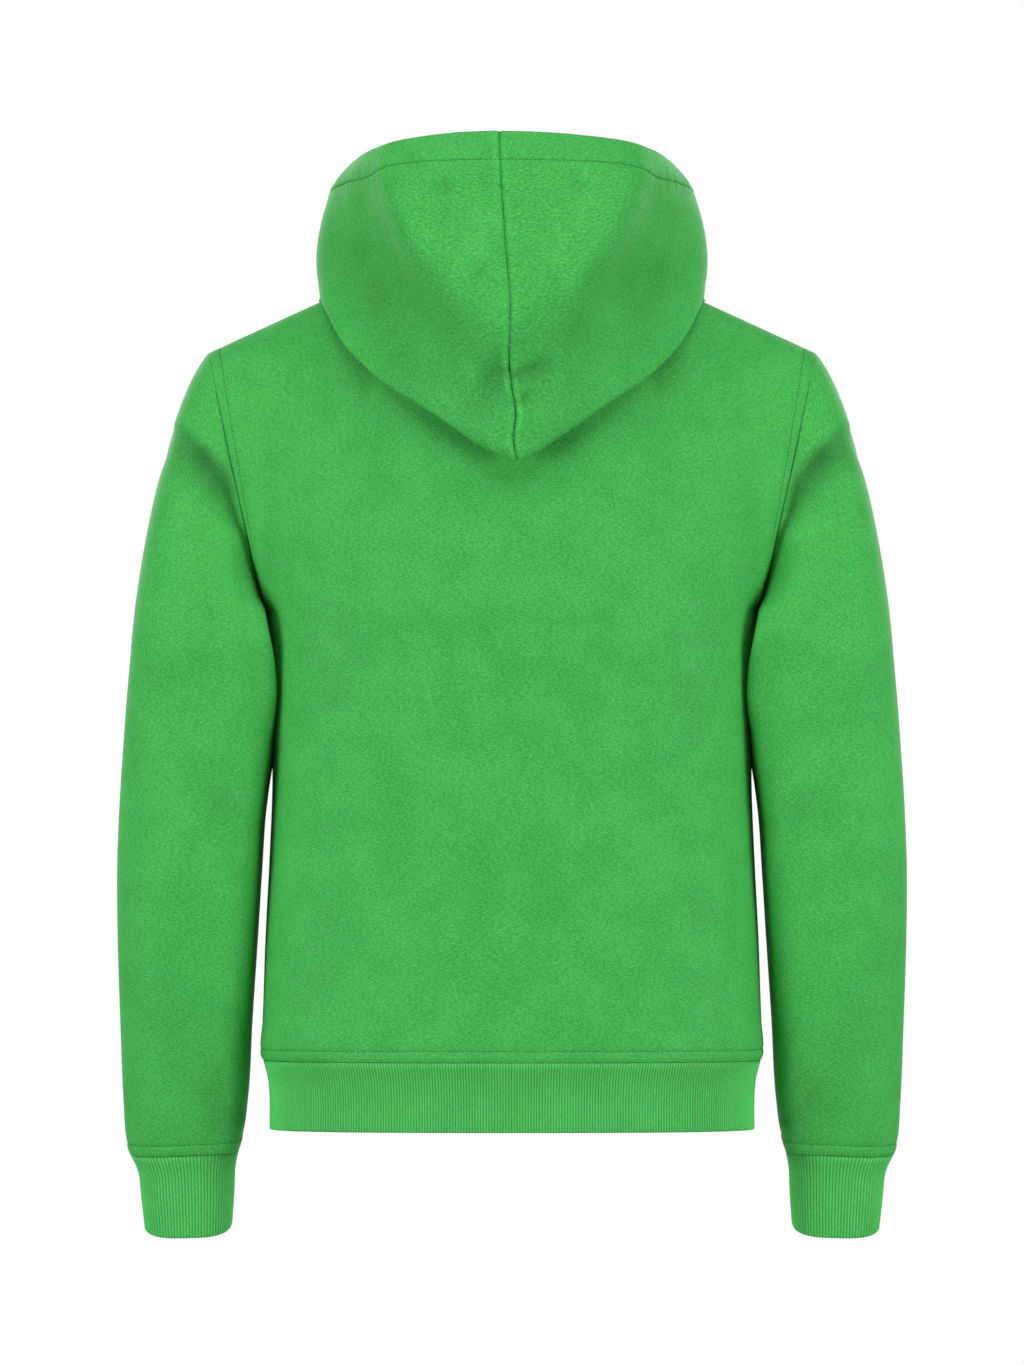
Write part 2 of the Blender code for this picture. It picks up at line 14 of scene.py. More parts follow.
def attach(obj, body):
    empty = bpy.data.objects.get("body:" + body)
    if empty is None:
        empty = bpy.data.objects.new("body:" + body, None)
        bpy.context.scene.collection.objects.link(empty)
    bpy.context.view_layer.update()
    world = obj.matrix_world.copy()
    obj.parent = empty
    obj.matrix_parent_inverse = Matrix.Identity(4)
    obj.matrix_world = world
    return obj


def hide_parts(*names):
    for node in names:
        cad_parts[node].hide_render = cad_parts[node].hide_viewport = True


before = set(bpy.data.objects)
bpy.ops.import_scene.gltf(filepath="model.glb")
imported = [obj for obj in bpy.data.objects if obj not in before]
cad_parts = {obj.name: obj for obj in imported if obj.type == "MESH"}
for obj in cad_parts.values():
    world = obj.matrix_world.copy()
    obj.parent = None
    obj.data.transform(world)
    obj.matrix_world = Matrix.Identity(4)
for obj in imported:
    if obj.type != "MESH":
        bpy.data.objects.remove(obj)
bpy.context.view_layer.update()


# ---- View and light ----
# A white studio set: the hoodie's back is seen from 5 m off at hip height. Soft lamps light it from
# both sides, above and beyond, and a white wall beyond it lights its edges.

scene = bpy.context.scene
scene.view_settings.view_transform = "Standard"

VIEW_FROM = Vector((0.0, 5.0, -0.50))
VIEW_AT = Vector((0.0, 0.0, -0.3227))
camera = bpy.data.objects.new("camera", bpy.data.cameras.new("camera"))
camera.data.lens = 170.3
camera.data.sensor_width = 36
camera.data.clip_end = 100
camera.location = VIEW_FROM
camera.rotation_euler = (VIEW_AT - VIEW_FROM).to_track_quat("-Z", "Y").to_euler()
scene.collection.objects.link(camera)
scene.camera = camera

# The room is dim all round and bright behind the hoodie, where the wall is. The camera sees only white.
LIGHT_ALL_ROUND, LIGHT_OF_WALL = 0.02, 0.6
world = bpy.data.worlds.new("white_set")
world.use_nodes = True
scene.world = world
set_nodes = world.node_tree.nodes
room = set_nodes["Background"]
room.inputs["Color"].default_value = (1, 1, 1, 1)
direction = set_nodes.new("ShaderNodeTexCoord")
split = set_nodes.new("ShaderNodeSeparateXYZ")
strength = set_nodes.new("ShaderNodeMapRange")
strength.inputs["From Min"].default_value = -0.35
strength.inputs["From Max"].default_value = -0.95
strength.inputs["To Min"].default_value = LIGHT_ALL_ROUND
strength.inputs["To Max"].default_value = LIGHT_ALL_ROUND + LIGHT_OF_WALL
backdrop = set_nodes.new("ShaderNodeBackground")
backdrop.inputs["Color"].default_value = (1, 1, 1, 1)
rays = set_nodes.new("ShaderNodeLightPath")
seen = set_nodes.new("ShaderNodeMixShader")
for source, target in (
    (direction.outputs["Generated"], split.inputs[0]),
    (split.outputs["Y"], strength.inputs["Value"]),
    (strength.outputs[0], room.inputs["Strength"]),
    (rays.outputs["Is Camera Ray"], seen.inputs["Fac"]),
    (room.outputs["Background"], seen.inputs[1]),
    (backdrop.outputs["Background"], seen.inputs[2]),
    (seen.outputs["Shader"], set_nodes["World Output"].inputs["Surface"]),
):
    world.node_tree.links.new(source, target)

# Soft round lamps: the key and side lamps stand level with the hoodie, and the others hang higher.
# Each row gives the angle to both sides of the camera's, the distance, the height and the power.
LAMP_SIZE = 1.3
LAMPS_AIM = Vector((0, 0, -0.35))
for lamp_name, angle, reach, height, power in (
    ("key_lamp", 50, 2.6, -0.4, 35.5),
    ("top_lamp", 50, 2.6, 2.6, 17),
    ("overhead_lamp", 0, 0.6, 2.2, 14),
    ("near_lamp", 0, 1.4, 1.1, 7.5),
    ("side_lamp", 69, 1.4, -0.4, 3.2),
    ("front_lamp", 150, 2.6, 0.6, 26),
):
    for turn in np.radians((angle, -angle) if angle else (0,)):
        lamp = bpy.data.lights.new(lamp_name, "AREA")
        lamp.shape = "DISK"
        lamp.size = LAMP_SIZE
        lamp.energy = power
        stand = bpy.data.objects.new(lamp_name, lamp)
        stand.location = (reach * np.sin(turn), reach * np.cos(turn), height)
        stand.rotation_euler = (LAMPS_AIM - stand.location).to_track_quat("-Z", "Y").to_euler()
        scene.collection.objects.link(stand)

# The floor is a pale grey disc, well below the hoodie, which hangs in the air.
FLOOR_RADIUS, FLOOR_HEIGHT = 1.1, -1.5
floor_shape = bmesh.new()
bmesh.ops.create_circle(floor_shape, cap_ends=True, radius=FLOOR_RADIUS, segments=96)
bmesh.ops.translate(floor_shape, verts=floor_shape.verts, vec=(0, 0, FLOOR_HEIGHT))
floor_mesh = bpy.data.meshes.new("floor")
floor_shape.to_mesh(floor_mesh)
floor_shape.free()
floor_paint = bpy.data.materials.new("pale_grey_floor_paint")
floor_paint.use_nodes = True
paint = floor_paint.node_tree.nodes["Principled BSDF"]
paint.inputs["Base Color"].default_value = (0.5, 0.5, 0.5, 1)
paint.inputs["Roughness"].default_value = 0.8
floor_mesh.materials.append(floor_paint)
floor = bpy.data.objects.new("floor", floor_mesh)
scene.collection.objects.link(floor)


# ---- Back and front panels ----
# Two panels of sweatshirt fleece, cut flat, sewn at the shoulders and sides and filled out by the
# shape inside. The cloth stands in a soft raised band where a seam's allowance is stitched down.

BACK, FRONT = 1, -1
FLEECE_WALL = 0.0020
SEAM_GAP = 0.0003


def table(columns, *rows):
    """A dictionary of named columns; the first one is what the others are looked up by."""
    return dict(zip(columns.split(), np.array(rows, float).T))


def hermite(start, leave, end, arrive, at):
    """Cubic from start to end that leaves and arrives with the given tangents."""
    back = 1 - at
    return (
        (1 + 2 * at) * back**2 * start
        + at * back**2 * leave
        + at**2 * (3 - 2 * at) * end
        - at**2 * back * arrive
    )


def look_up(rows, column, at, level_ends=False):
    """The column's value at `at` in the first column, on a smooth curve through the rows."""
    keys = next(iter(rows.values()))
    values = rows[column]
    slopes = np.gradient(values, keys)
    if level_ends:
        slopes[[0, -1]] = 0
    at = np.clip(at, min(keys[0], keys[-1]), max(keys[0], keys[-1]))
    place = np.interp(at, np.sort(keys), np.arange(len(keys)))
    if keys[0] > keys[-1]:
        place = len(keys) - 1 - place
    low = np.clip(np.floor(place).astype(int), 0, len(keys) - 2)
    step = keys[low + 1] - keys[low]
    return hermite(values[low], slopes[low] * step, values[low + 1], slopes[low + 1] * step, place - low)


def smooth_step(low, high, at):
    share = np.clip((at - low) / (high - low), 0, 1)
    return share * share * (3 - 2 * share)


def vector(x, y, z):
    return np.stack(np.broadcast_arrays(x, y, z), axis=-1).astype(float)


def hump(at, middle, width):
    """A smooth hill, 1 high, for rows of stitching, rolls and folds."""
    return np.exp(-(((at - middle) / width) ** 2))


# Outer half width, and depth from the side seams to the back and the front, at each height.
BODY = table(
    "height half_width back front",
    (-0.6145, 0.1922, 0.1078, 0.109),
    (-0.6070, 0.1938, 0.1076, 0.111),
    (-0.5850, 0.1927, 0.1074, 0.112),
    (-0.5230, 0.1906, 0.1082, 0.114),
    (-0.4600, 0.1875, 0.1094, 0.117),
    (-0.4000, 0.1853, 0.1114, 0.119),
    (-0.3400, 0.1862, 0.114, 0.121),
    (-0.2700, 0.1905, 0.120, 0.122),
)
HEM_SEAM, UNDERARM = BODY["height"][0], BODY["height"][-1]
BODY_POWER = 0.74          # 1 is an ellipse; less is squarer
SHOULDER_TOP = (0.085, 0.0, 0.002)
SHOULDER_TIP = (0.235, 0.0, -0.067)
NECK_SHARE = 0.40          # share of a half panel's top edge that is neckline, the rest is shoulder

# How the cloth leaves the underarm's level and arrives at the neck and shoulder, as curve tangents.
PANEL_RISE = 0.26
ARMHOLE_REACH = {BACK: 0.250, FRONT: 0.240}
SIDE_TURN = 0.6
CENTRE_PULL, SHOULDER_PULL = 0.05, 0.17
CENTRE_LIFT = 0.10
HALF_PANEL, UPPER_PANEL = 0.25, 0.30      # along the cloth: centre to side, underarm to shoulder

# Radius and height by the angle from the centre back, round to the centre front.
NECKLINE = table(
    "angle radius height",
    (0, 0.070, -0.018),
    (45, 0.076, -0.010),
    (90, 0.085, 0.002),
    (135, 0.083, -0.038),
    (180, 0.080, -0.075),
)

# Rows of stitching lie this far from a seam, and the cloth between them is lifted by the allowance.
STITCH_NEAR, STITCH_FAR = 0.0012, 0.0084
SEAM_ROLL, BAND_LIFT, STITCH_SINK, ARMHOLE_SINK = 0.0003, 0.0006, 0.0008, 0.0005

# Shallow folds in the panels: from (x, z) to (x, z), so deep (or so high, if negative), and so wide
# on the upper side and on the lower one.
BODY_FOLDS = table(
    "face x0 z0 x1 z1 depth above below",
    (BACK, 0.168, -0.120, 0.176, -0.300, 0.0012, 0.016, 0.016),
    (BACK, -0.167, -0.126, -0.175, -0.290, 0.0011, 0.017, 0.017),
    (BACK, 0.150, -0.240, 0.110, -0.420, 0.0009, 0.018, 0.018),
    (BACK, -0.148, -0.250, -0.116, -0.440, 0.0009, 0.016, 0.018),
    (BACK, 0.012, -0.400, -0.008, -0.560, 0.0012, 0.030, 0.030),
    (BACK, 0.090, -0.500, 0.140, -0.560, 0.0009, 0.014, 0.014),
    (BACK, -0.085, -0.515, -0.145, -0.570, 0.0009, 0.014, 0.014),
    (BACK, 0.060, -0.330, -0.050, -0.352, 0.0007, 0.012, 0.018),
    (FRONT, 0.166, -0.130, 0.174, -0.300, 0.0035, 0.016, 0.016),
    (FRONT, -0.166, -0.124, -0.175, -0.310, 0.0032, 0.017, 0.017),
    (FRONT, 0.140, -0.215, 0.060, -0.250, 0.0018, 0.010, 0.018),
    (FRONT, -0.142, -0.220, -0.070, -0.262, 0.0017, 0.010, 0.019),
    (FRONT, 0.130, -0.480, 0.060, -0.560, 0.0014, 0.018, 0.018),
    (FRONT, -0.120, -0.470, -0.055, -0.565, 0.0013, 0.018, 0.018),
    (FRONT, 0.010, -0.300, -0.012, -0.520, 0.0012, 0.030, 0.030),
)


def ring_line(rows, angle):
    """Radius and height of a line round the neck, by the angle from the centre back."""
    radius, height = (look_up(rows, column, angle, level_ends=True) for column in ("radius", "height"))
    return np.stack((radius, height), axis=-1)


def body_section(face, across, height):
    """Point of the lower body: across runs 0 at the centre line to 1 at the side seam."""
    turn = across * np.pi / 2
    depth = look_up(BODY, "back" if face == BACK else "front", height)
    x = look_up(BODY, "half_width", height) * np.sin(turn) ** BODY_POWER
    return vector(x, face * depth * np.clip(np.cos(turn), 0, 1) ** BODY_POWER, height)


def panel_top(face, across):
    """The half panel's top edge: neckline, then shoulder seam out to the tip."""
    turn = np.clip(across / NECK_SHARE, 0, 1) * 90
    angle = turn if face == BACK else 180 - turn
    radius, height = np.moveaxis(ring_line(NECKLINE, angle), -1, 0)
    neck = vector(radius * np.sin(np.radians(angle)), radius * np.cos(np.radians(angle)), height)
    share = np.clip((across - NECK_SHARE) / (1 - NECK_SHARE), 0, 1)[..., None]
    shoulder = (1 - share) * np.array(SHOULDER_TOP) + share * np.array(SHOULDER_TIP)
    return np.where((across <= NECK_SHARE)[..., None], neck, shoulder)


def body_point(face, across, up):
    """Point of a panel: up runs 0 at the hem seam, 1 at underarm level, 2 at neck and shoulder."""
    lower = body_section(face, across, HEM_SEAM + np.clip(up, 0, 1) * (UNDERARM - HEM_SEAM))
    step = 0.01
    base = body_section(face, across, UNDERARM)
    slope = (base - body_section(face, across, UNDERARM - step)) / step
    turned = smooth_step(SIDE_TURN, 1, across)[..., None]
    leave = (1 - turned) * PANEL_RISE * slope + turned * np.array((0, face * ARMHOLE_REACH[face], 0))
    neck = np.clip(across / NECK_SHARE, 0, 1)
    inwards = CENTRE_PULL + (SHOULDER_PULL - CENTRE_PULL) * neck
    inwards = inwards + (ARMHOLE_REACH[face] - SHOULDER_PULL) * smooth_step(NECK_SHARE, 1, across)
    arrive = vector(0, -face * inwards, CENTRE_LIFT * (1 - neck))
    upper = hermite(base, leave, panel_top(face, across), arrive, np.clip(up - 1, 0, 1)[..., None])
    return np.where((up <= 1)[..., None], lower, upper) + np.array((0, face * SEAM_GAP / 2, 0))


def grid_normals(points):
    """Normals of a grid: along its rows' order, crossed with its columns' order."""
    normal = np.cross(np.gradient(points, axis=0), np.gradient(points, axis=1))
    return normal / np.maximum(np.linalg.norm(normal, axis=-1, keepdims=True), 1e-9)


def seam_relief(away):
    """Height of the cloth by its distance from a seam whose allowance is stitched down twice."""
    band = smooth_step(0, 2 * STITCH_NEAR, away)
    band = band * smooth_step(STITCH_FAR + 0.0008, STITCH_FAR - 0.0008, away)
    stitched = 0.5 * hump(away, STITCH_NEAR, 0.0007) + hump(away, STITCH_FAR, 0.0009)
    return BAND_LIFT * band - STITCH_SINK * stitched - SEAM_ROLL * hump(away, 0, 0.0008)


def seam_painted_shade(away):
    """Painted shade of the cloth by its distance from such a seam: darker at the seam and the far row."""
    return 0.2 * hump(away, 0, 0.0007) + 0.3 * hump(away, STITCH_FAR, 0.0008)


def folds(points, rows, chosen):
    """How far the cloth sinks into the folds of a table whose first column is one of those chosen."""
    sink = np.zeros(points.shape[:2])
    for owner, x0, z0, x1, z1, depth, above, below in zip(*rows.values()):
        start, run = np.array((x0, z0)), np.array((x1 - x0, z1 - z0))
        offset = points[..., [0, 2]] - start
        share = np.clip((offset @ run) / (run @ run), 0, 1)
        off_line = offset - share[..., None] * run
        away = np.linalg.norm(off_line, axis=-1)
        width = below + (above - below) * smooth_step(-0.004, 0.004, off_line[..., 1])
        fade = 0.35 + 0.65 * np.sin(share * np.pi)
        sink += np.where(chosen(points, owner), depth * fade * hump(away, 0, width), 0)
    return sink


def on_face(points, face):
    return points[..., 1] * face > 0


def linear(hex_colour):
    """sRGB hex to the linear colour that a shader takes."""
    parts = np.array([int(hex_colour[i : i + 2], 16) / 255 for i in (1, 3, 5)])
    parts = np.where(parts <= 0.04045, parts / 12.92, ((parts + 0.055) / 1.055) ** 2.4)
    return (*parts, 1.0)


def add_node(material, kind, settings=None, **links):
    """A shader node with its settings and links; a link's name is the socket's, _ for a space."""
    made = material.node_tree.nodes.new(kind)
    for name, value in (settings or {}).items():
        if isinstance(name, int) or name in made.inputs:
            made.inputs[name].default_value = value
        else:
            setattr(made, name, value)
    for name, source in links.items():
        material.node_tree.links.new(source, made.inputs[name.replace("_", " ")])
    return made


# Sweatshirt fleece: cotton mix, knitted plain and brushed, so the face is matt with a short nap that
# catches light at grazing angles. The dye takes unevenly in the yarns, which gives the fine grain.
# The stitches are about 0.9 mm; at that size they would not show, so the grain is drawn at 1.8 mm.
YARN_GRAIN = 0.0018
YARN_SLANT, YARN_STRETCH = -0.55, 3.2   # the grains lie in short streaks that rise across the cloth
CLOUD = 0.030              # size of the soft lighter and darker areas
FUZZ_SHARE, CLOUD_SHARE = 0.30, 0.12
DYE_SPREAD = 0.12          # how near the noise's middle the darkest and lightest yarns lie
FLEECE_MID, FLEECE_LIGHT, FLEECE_DARK = "#41ad4d", "#53c35f", "#2e983a"


def fleece_material(name, mid, light, dark, grain, nap, fold_shade):
    """Matt yarn in three tones, grained by its size, with its nap, and painted shade and highlight by
    attribute.
    """
    cloth = bpy.data.materials.new(name)
    cloth.use_nodes = True
    shader = cloth.node_tree.nodes["Principled BSDF"]
    shader.inputs["Roughness"].default_value = 0.72
    shader.inputs["IOR"].default_value = 1.45
    shader.inputs["Specular IOR Level"].default_value = 0.25
    shader.inputs["Sheen Weight"].default_value = nap
    shader.inputs["Sheen Roughness"].default_value = 0.55
    shader.inputs["Sheen Tint"].default_value = linear("#b6f0bd")
    where = add_node(cloth, "ShaderNodeTexCoord").outputs

    def noise(scale, detail, rough, place):
        settings = {"Scale": scale, "Detail": detail, "Roughness": rough}
        return add_node(cloth, "ShaderNodeTexNoise", settings, Vector=place).outputs[0]

    def blend(share, one, other):
        return add_node(cloth, "ShaderNodeMix", {"data_type": "FLOAT", 0: share}, A=one, B=other).outputs[0]

    slant = {"Rotation": (0, 0, YARN_SLANT), "Scale": (1, YARN_STRETCH, 1)}
    twist = add_node(cloth, "ShaderNodeMapping", slant, Vector=where["UV"])
    yarn = noise(0.7 / grain, 3.0, 0.7, twist.outputs[0])
    fuzz = noise(1.1 / grain, 2.0, 0.5, where["Object"])
    cloud = noise(1 / CLOUD, 2.5, 0.5, where["Object"])
    grains = blend(FUZZ_SHARE, yarn, fuzz)
    shade = blend(CLOUD_SHARE, grains, cloud)
    ramp = add_node(cloth, "ShaderNodeValToRGB", Fac=shade)
    darkest, lightest = ramp.color_ramp.elements
    darkest.position, lightest.position = 0.5 - DYE_SPREAD, 0.5 + DYE_SPREAD
    darkest.color, lightest.color = linear(dark), linear(light)
    ramp.color_ramp.elements.new(0.5).color = linear(mid)
    # Painted shade: the colour is darkened by this share times the point's attribute; below 0 it paints a
    # highlight.
    shade_paint = add_node(cloth, "ShaderNodeAttribute", {"attribute_name": "painted_shade"})
    dim = {"operation": "MULTIPLY_ADD", 1: -fold_shade, 2: 1.0}
    dimmed = add_node(cloth, "ShaderNodeMath", dim, Value=shade_paint.outputs["Fac"]).outputs[0]
    shaded = add_node(cloth, "ShaderNodeHueSaturation", Value=dimmed, Color=ramp.outputs["Color"])
    cloth.node_tree.links.new(shaded.outputs["Color"], shader.inputs["Base Color"])
    rough = add_node(cloth, "ShaderNodeBump", {"Strength": 0.45, "Distance": 0.0005}, Height=grains)
    uneven = {"Strength": 0.20, "Distance": 0.0016}
    soft = add_node(cloth, "ShaderNodeBump", uneven, Height=cloud, Normal=rough.outputs[0])
    cloth.node_tree.links.new(soft.outputs[0], shader.inputs["Normal"])
    return cloth


# Painted shade: the colour in a fold or a seam is painted this share darker where it is deepest.
FOLD_SHADE = 0.30
FOLD_FULL = 0.0060         # depth of a fold that has the whole of that shade
FLEECE_NAP = 0.08
fleece = fleece_material(
    "brushed_sweatshirt_fleece", FLEECE_MID, FLEECE_LIGHT, FLEECE_DARK, YARN_GRAIN, FLEECE_NAP, FOLD_SHADE
)


def cloth_piece(name, points, material, flip=False, tube=False, wall=0.0, painted_shade=None):
    """A grid of rows x columns shaped by points, with its UV map in metres along the cloth.

    A tube's last column joins its first. Each point's painted shade darkens it in a fold, in a seam or
    between ribs: 1 for the whole painted shade, and less than 0 paints a highlight on a raised edge.
    """
    rows, columns = points.shape[:2]
    shape = bmesh.new()
    bmesh.ops.create_grid(shape, x_segments=columns - 1, y_segments=rows - 1, size=1)
    mesh = bpy.data.meshes.new(name)
    shape.to_mesh(mesh)
    shape.free()
    mesh.vertices.foreach_set("co", points.reshape(-1))
    steps_across = np.linalg.norm(np.diff(points, axis=1), axis=-1).mean(axis=0)
    steps_along = np.linalg.norm(np.diff(points, axis=0), axis=-1).mean(axis=1)
    across = np.concatenate(((0,), np.cumsum(steps_across)))
    along = np.concatenate(((0,), np.cumsum(steps_along)))
    flat = np.stack(np.meshgrid(across, along), axis=-1).reshape(-1, 2)
    corner = np.empty(len(mesh.loops), int)
    mesh.loops.foreach_get("vertex_index", corner)
    mesh.uv_layers.new(name="cloth").data.foreach_set("uv", flat[corner].reshape(-1))
    if painted_shade is not None:
        mesh.attributes.new("painted_shade", "FLOAT", "POINT").data.foreach_set("value", painted_shade.reshape(-1))
    shape = bmesh.new()
    shape.from_mesh(mesh)
    if tube:
        bmesh.ops.remove_doubles(shape, verts=shape.verts, dist=1e-6)
    if flip:
        bmesh.ops.reverse_faces(shape, faces=shape.faces)
    shape.to_mesh(mesh)
    shape.free()
    mesh.materials.append(material)
    mesh.shade_smooth()
    piece = bpy.data.objects.new(name, mesh)
    scene.collection.objects.link(piece)
    if wall:
        solidify = piece.modifiers.new("wall", "SOLIDIFY")
        solidify.thickness = wall
        solidify.offset = -1
        solidify.use_quality_normals = True
    return piece


# Columns and rows of a panel, close together beside the seams and where the stitching runs.
near_seam = np.array(
    (0.0, 0.0006, STITCH_NEAR, 0.0020, 0.0032, 0.0048, 0.0064, 0.0075, STITCH_FAR, 0.0094, 0.0110)
)
side_columns = 1 - near_seam[::-1] / HALF_PANEL
panel_columns = np.concatenate((np.linspace(0, side_columns[0], 60)[:-1], side_columns))
hem_rows = near_seam / (UNDERARM - HEM_SEAM)
top_rows = 2 - near_seam[::-1] / UPPER_PANEL
panel_rows = np.concatenate(
    (hem_rows, np.linspace(hem_rows[-1], 1, 80)[1:], np.linspace(1, top_rows[0], 70)[1:-1], top_rows)
)
armhole_row = int(np.searchsorted(panel_rows, 1.0))


def panel_points(face):
    """The panel's outer face, rows from the hem up and columns from the wearer's right to left."""
    across = np.concatenate((-panel_columns[:0:-1], panel_columns))
    up, column = np.meshgrid(panel_rows, across, indexing="ij")
    points = body_point(face, np.abs(column), up)
    points[..., 0] *= np.where(column < 0, -1, 1)
    outwards = grid_normals(points) * face
    side = (1 - np.abs(column)) * HALF_PANEL
    stitched = smooth_step(0.97, 1.0, up)    # the armhole's stitching begins at the underarm
    hem = up * (UNDERARM - HEM_SEAM)
    relief = seam_relief(hem)
    relief -= SEAM_ROLL * hump(side, 0, 0.0010) + stitched * ARMHOLE_SINK * hump(side, STITCH_FAR, 0.0010)
    relief -= 0.0008 * hump((2 - up) * UPPER_PANEL, 0, 0.0012)
    # The fleece ripples where the hem rib draws it in.
    ripple = np.sin(column * 47 + 2.1 * np.sin(column * 9))
    ripple = ripple * smooth_step(0.10, 0.02, up) * smooth_step(0, 0.01, up)
    creases = folds(points, BODY_FOLDS, on_face)
    relief += 0.0004 * ripple - creases
    # Painted shade: folds, the hem seam and its far row, and the armhole seam and its row are painted
    # darker.
    painted_shade = 0.3 * creases / FOLD_FULL + seam_painted_shade(hem)
    painted_shade += 0.12 * stitched * (hump(side, 0, 0.0008) + 0.8 * hump(side, STITCH_FAR, 0.0008))
    return points + outwards * relief[..., None], outwards, painted_shade


panel_grids = {face: panel_points(face) for face in (BACK, FRONT)}
panels = {}
for name, face in (("back", BACK), ("front", FRONT)):
    points, _, painted_shade = panel_grids[face]
    panel = cloth_piece(f"{name}_cloth", points, fleece, flip=face == BACK, wall=FLEECE_WALL, painted_shade=painted_shade)
    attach(panel, "root")
    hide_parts(name)
    panels[face] = panel


# ---- Sleeves ----
# Two set-in sleeves of the same fleece, each cut flat and closed by one seam under the arm. They hang
# nearly straight, creased where the cap turns down from the armhole and softly folded below.

LEFT, RIGHT = 1, -1
MIRROR = {side: np.array((side, 1, 1)) for side in (LEFT, RIGHT)}
SLEEVE = table(
    "height inner outer middle half_depth tilt lean",
    (-0.3000, 0.1862, 0.2942, 0.008, 0.073, 0.00, 0.00),
    (-0.3400, 0.1838, 0.2979, 0.004, 0.070, 0.00, 0.00),
    (-0.3760, 0.1844, 0.3006, 0.002, 0.067, 0.01, 0.00),
    (-0.4000, 0.1881, 0.3023, 0.001, 0.066, 0.02, 0.00),
    (-0.4300, 0.1917, 0.3039, 0.000, 0.065, 0.03, 0.00),
    (-0.4610, 0.1937, 0.3051, -0.002, 0.064, 0.04, 0.00),
    (-0.5230, 0.1976, 0.3049, -0.007, 0.060, 0.06, 0.00),
    (-0.5850, 0.2017, 0.3032, -0.013, 0.055, 0.08, 0.01),
    (-0.6470, 0.2053, 0.3009, -0.019, 0.048, 0.09, 0.02),
    (-0.6715, 0.2084, 0.2992, -0.022, 0.043, 0.10, 0.04),
    (-0.6845, 0.2116, 0.2964, -0.023, 0.040, 0.10, 0.04),
)
BICEP, CUFF_SEAM = SLEEVE["height"][0], SLEEVE["height"][-1]
SLEEVE_POWER, BESIDE_POWER = 0.68, 0.42   # the half next to the body is pressed squarer
BESIDE_BODY = 0.0001       # least distance from the body's side
UNDERARM_EASE = 0.012      # the body's side keeps the sleeve out up to this far above the underarm
PRESSED = 0.016            # cloth nearer to the body's outline than this is squeezed against it
PRESSED_FROM, PRESSED_TO = UNDERARM - 0.006, -0.376   # heights between which it is squeezed
PRESSED_FADE, PRESSED_WITHIN = 0.05, 0.215
LAP, LAP_BELOW = 0.0012, 0.0056           # how far it laps over the outline, and how much more below
CAP_LEAVE = (0.37, 0.06, -0.39)           # way the cap's cloth leaves the armhole: out, back and up
CAP_ARRIVE = (0.065, 0.0, -1.0)           # way it arrives at the bicep
CAP_LENGTH = 0.22
CAP_HUGS = (0.30, 0.43)    # between these shares of the way round, the cap turns to the body's side
CAP_TURNS_IN = 1.3         # there it loses its outward lean and leans in by the part over 1
SLEEVE_GAP = 0.00005
CREASE_FROM = 0.014        # the creases have their whole depth from this far below the armhole seam

SLEEVE_FOLDS = table(
    "face x0 z0 x1 z1 depth above below",
    (BACK, 0.260, -0.130, 0.227, -0.159, 0.0074, 0.0036, 0.0200),
    (BACK, 0.240, -0.146, 0.210, -0.182, 0.0062, 0.0036, 0.0180),
    (BACK, 0.218, -0.172, 0.199, -0.204, 0.0044, 0.0036, 0.0140),
    (BACK, 0.232, -0.207, 0.206, -0.215, -0.0020, 0.0055, 0.0060),
    (BACK, 0.216, -0.222, 0.200, -0.250, 0.0014, 0.0050, 0.0100),
    (BACK, 0.238, -0.405, 0.206, -0.430, 0.0024, 0.0100, 0.0160),
    (BACK, 0.272, -0.560, 0.240, -0.640, 0.0016, 0.0160, 0.0200),
    (BACK, 0.232, -0.610, 0.222, -0.670, 0.0018, 0.0120, 0.0120),
    (FRONT, 0.252, -0.146, 0.228, -0.176, 0.0070, 0.0070, 0.0150),
    (FRONT, 0.230, -0.174, 0.206, -0.206, 0.0070, 0.0060, 0.0140),
    (FRONT, 0.236, -0.208, 0.208, -0.228, 0.0040, 0.0060, 0.0110),
    (FRONT, 0.262, -0.330, 0.222, -0.372, 0.0030, 0.0080, 0.0150),
    (FRONT, 0.268, -0.392, 0.218, -0.408, 0.0034, 0.0080, 0.0130),
    (FRONT, 0.262, -0.440, 0.226, -0.430, 0.0026, 0.0090, 0.0120),
    (FRONT, 0.276, -0.580, 0.246, -0.640, 0.0018, 0.0160, 0.0180),
)


def body_side(y, height):
    """How far out the body's side is at this depth and height."""
    depth = np.where(y > 0, look_up(BODY, "back", height), look_up(BODY, "front", height))
    share = np.clip(np.abs(y) / depth, 0, 1) ** (2 / BODY_POWER)
    return look_up(BODY, "half_width", height) * (1 - share) ** (BODY_POWER / 2)


def tube_point(rows, power, beside, around, height):
    """Point of a hanging tube: around runs 0 outside, 1/4 back, 1/2 next to the body, 3/4 front."""
    turn = around * 2 * np.pi
    power = power + (beside - power) * np.clip(-np.cos(turn) * 4, 0, 1)
    inner, outer = look_up(rows, "inner", height), look_up(rows, "outer", height)
    x = (inner + outer) / 2 + (outer - inner) / 2 * np.sign(np.cos(turn)) * np.abs(np.cos(turn)) ** power
    out = look_up(rows, "half_depth", height) * np.sign(np.sin(turn)) * np.abs(np.sin(turn)) ** power
    z = height - look_up(rows, "tilt", height) * out
    z = z - look_up(rows, "lean", height) * (x - (inner + outer) / 2)
    return vector(x, look_up(rows, "middle", height) + out, z)


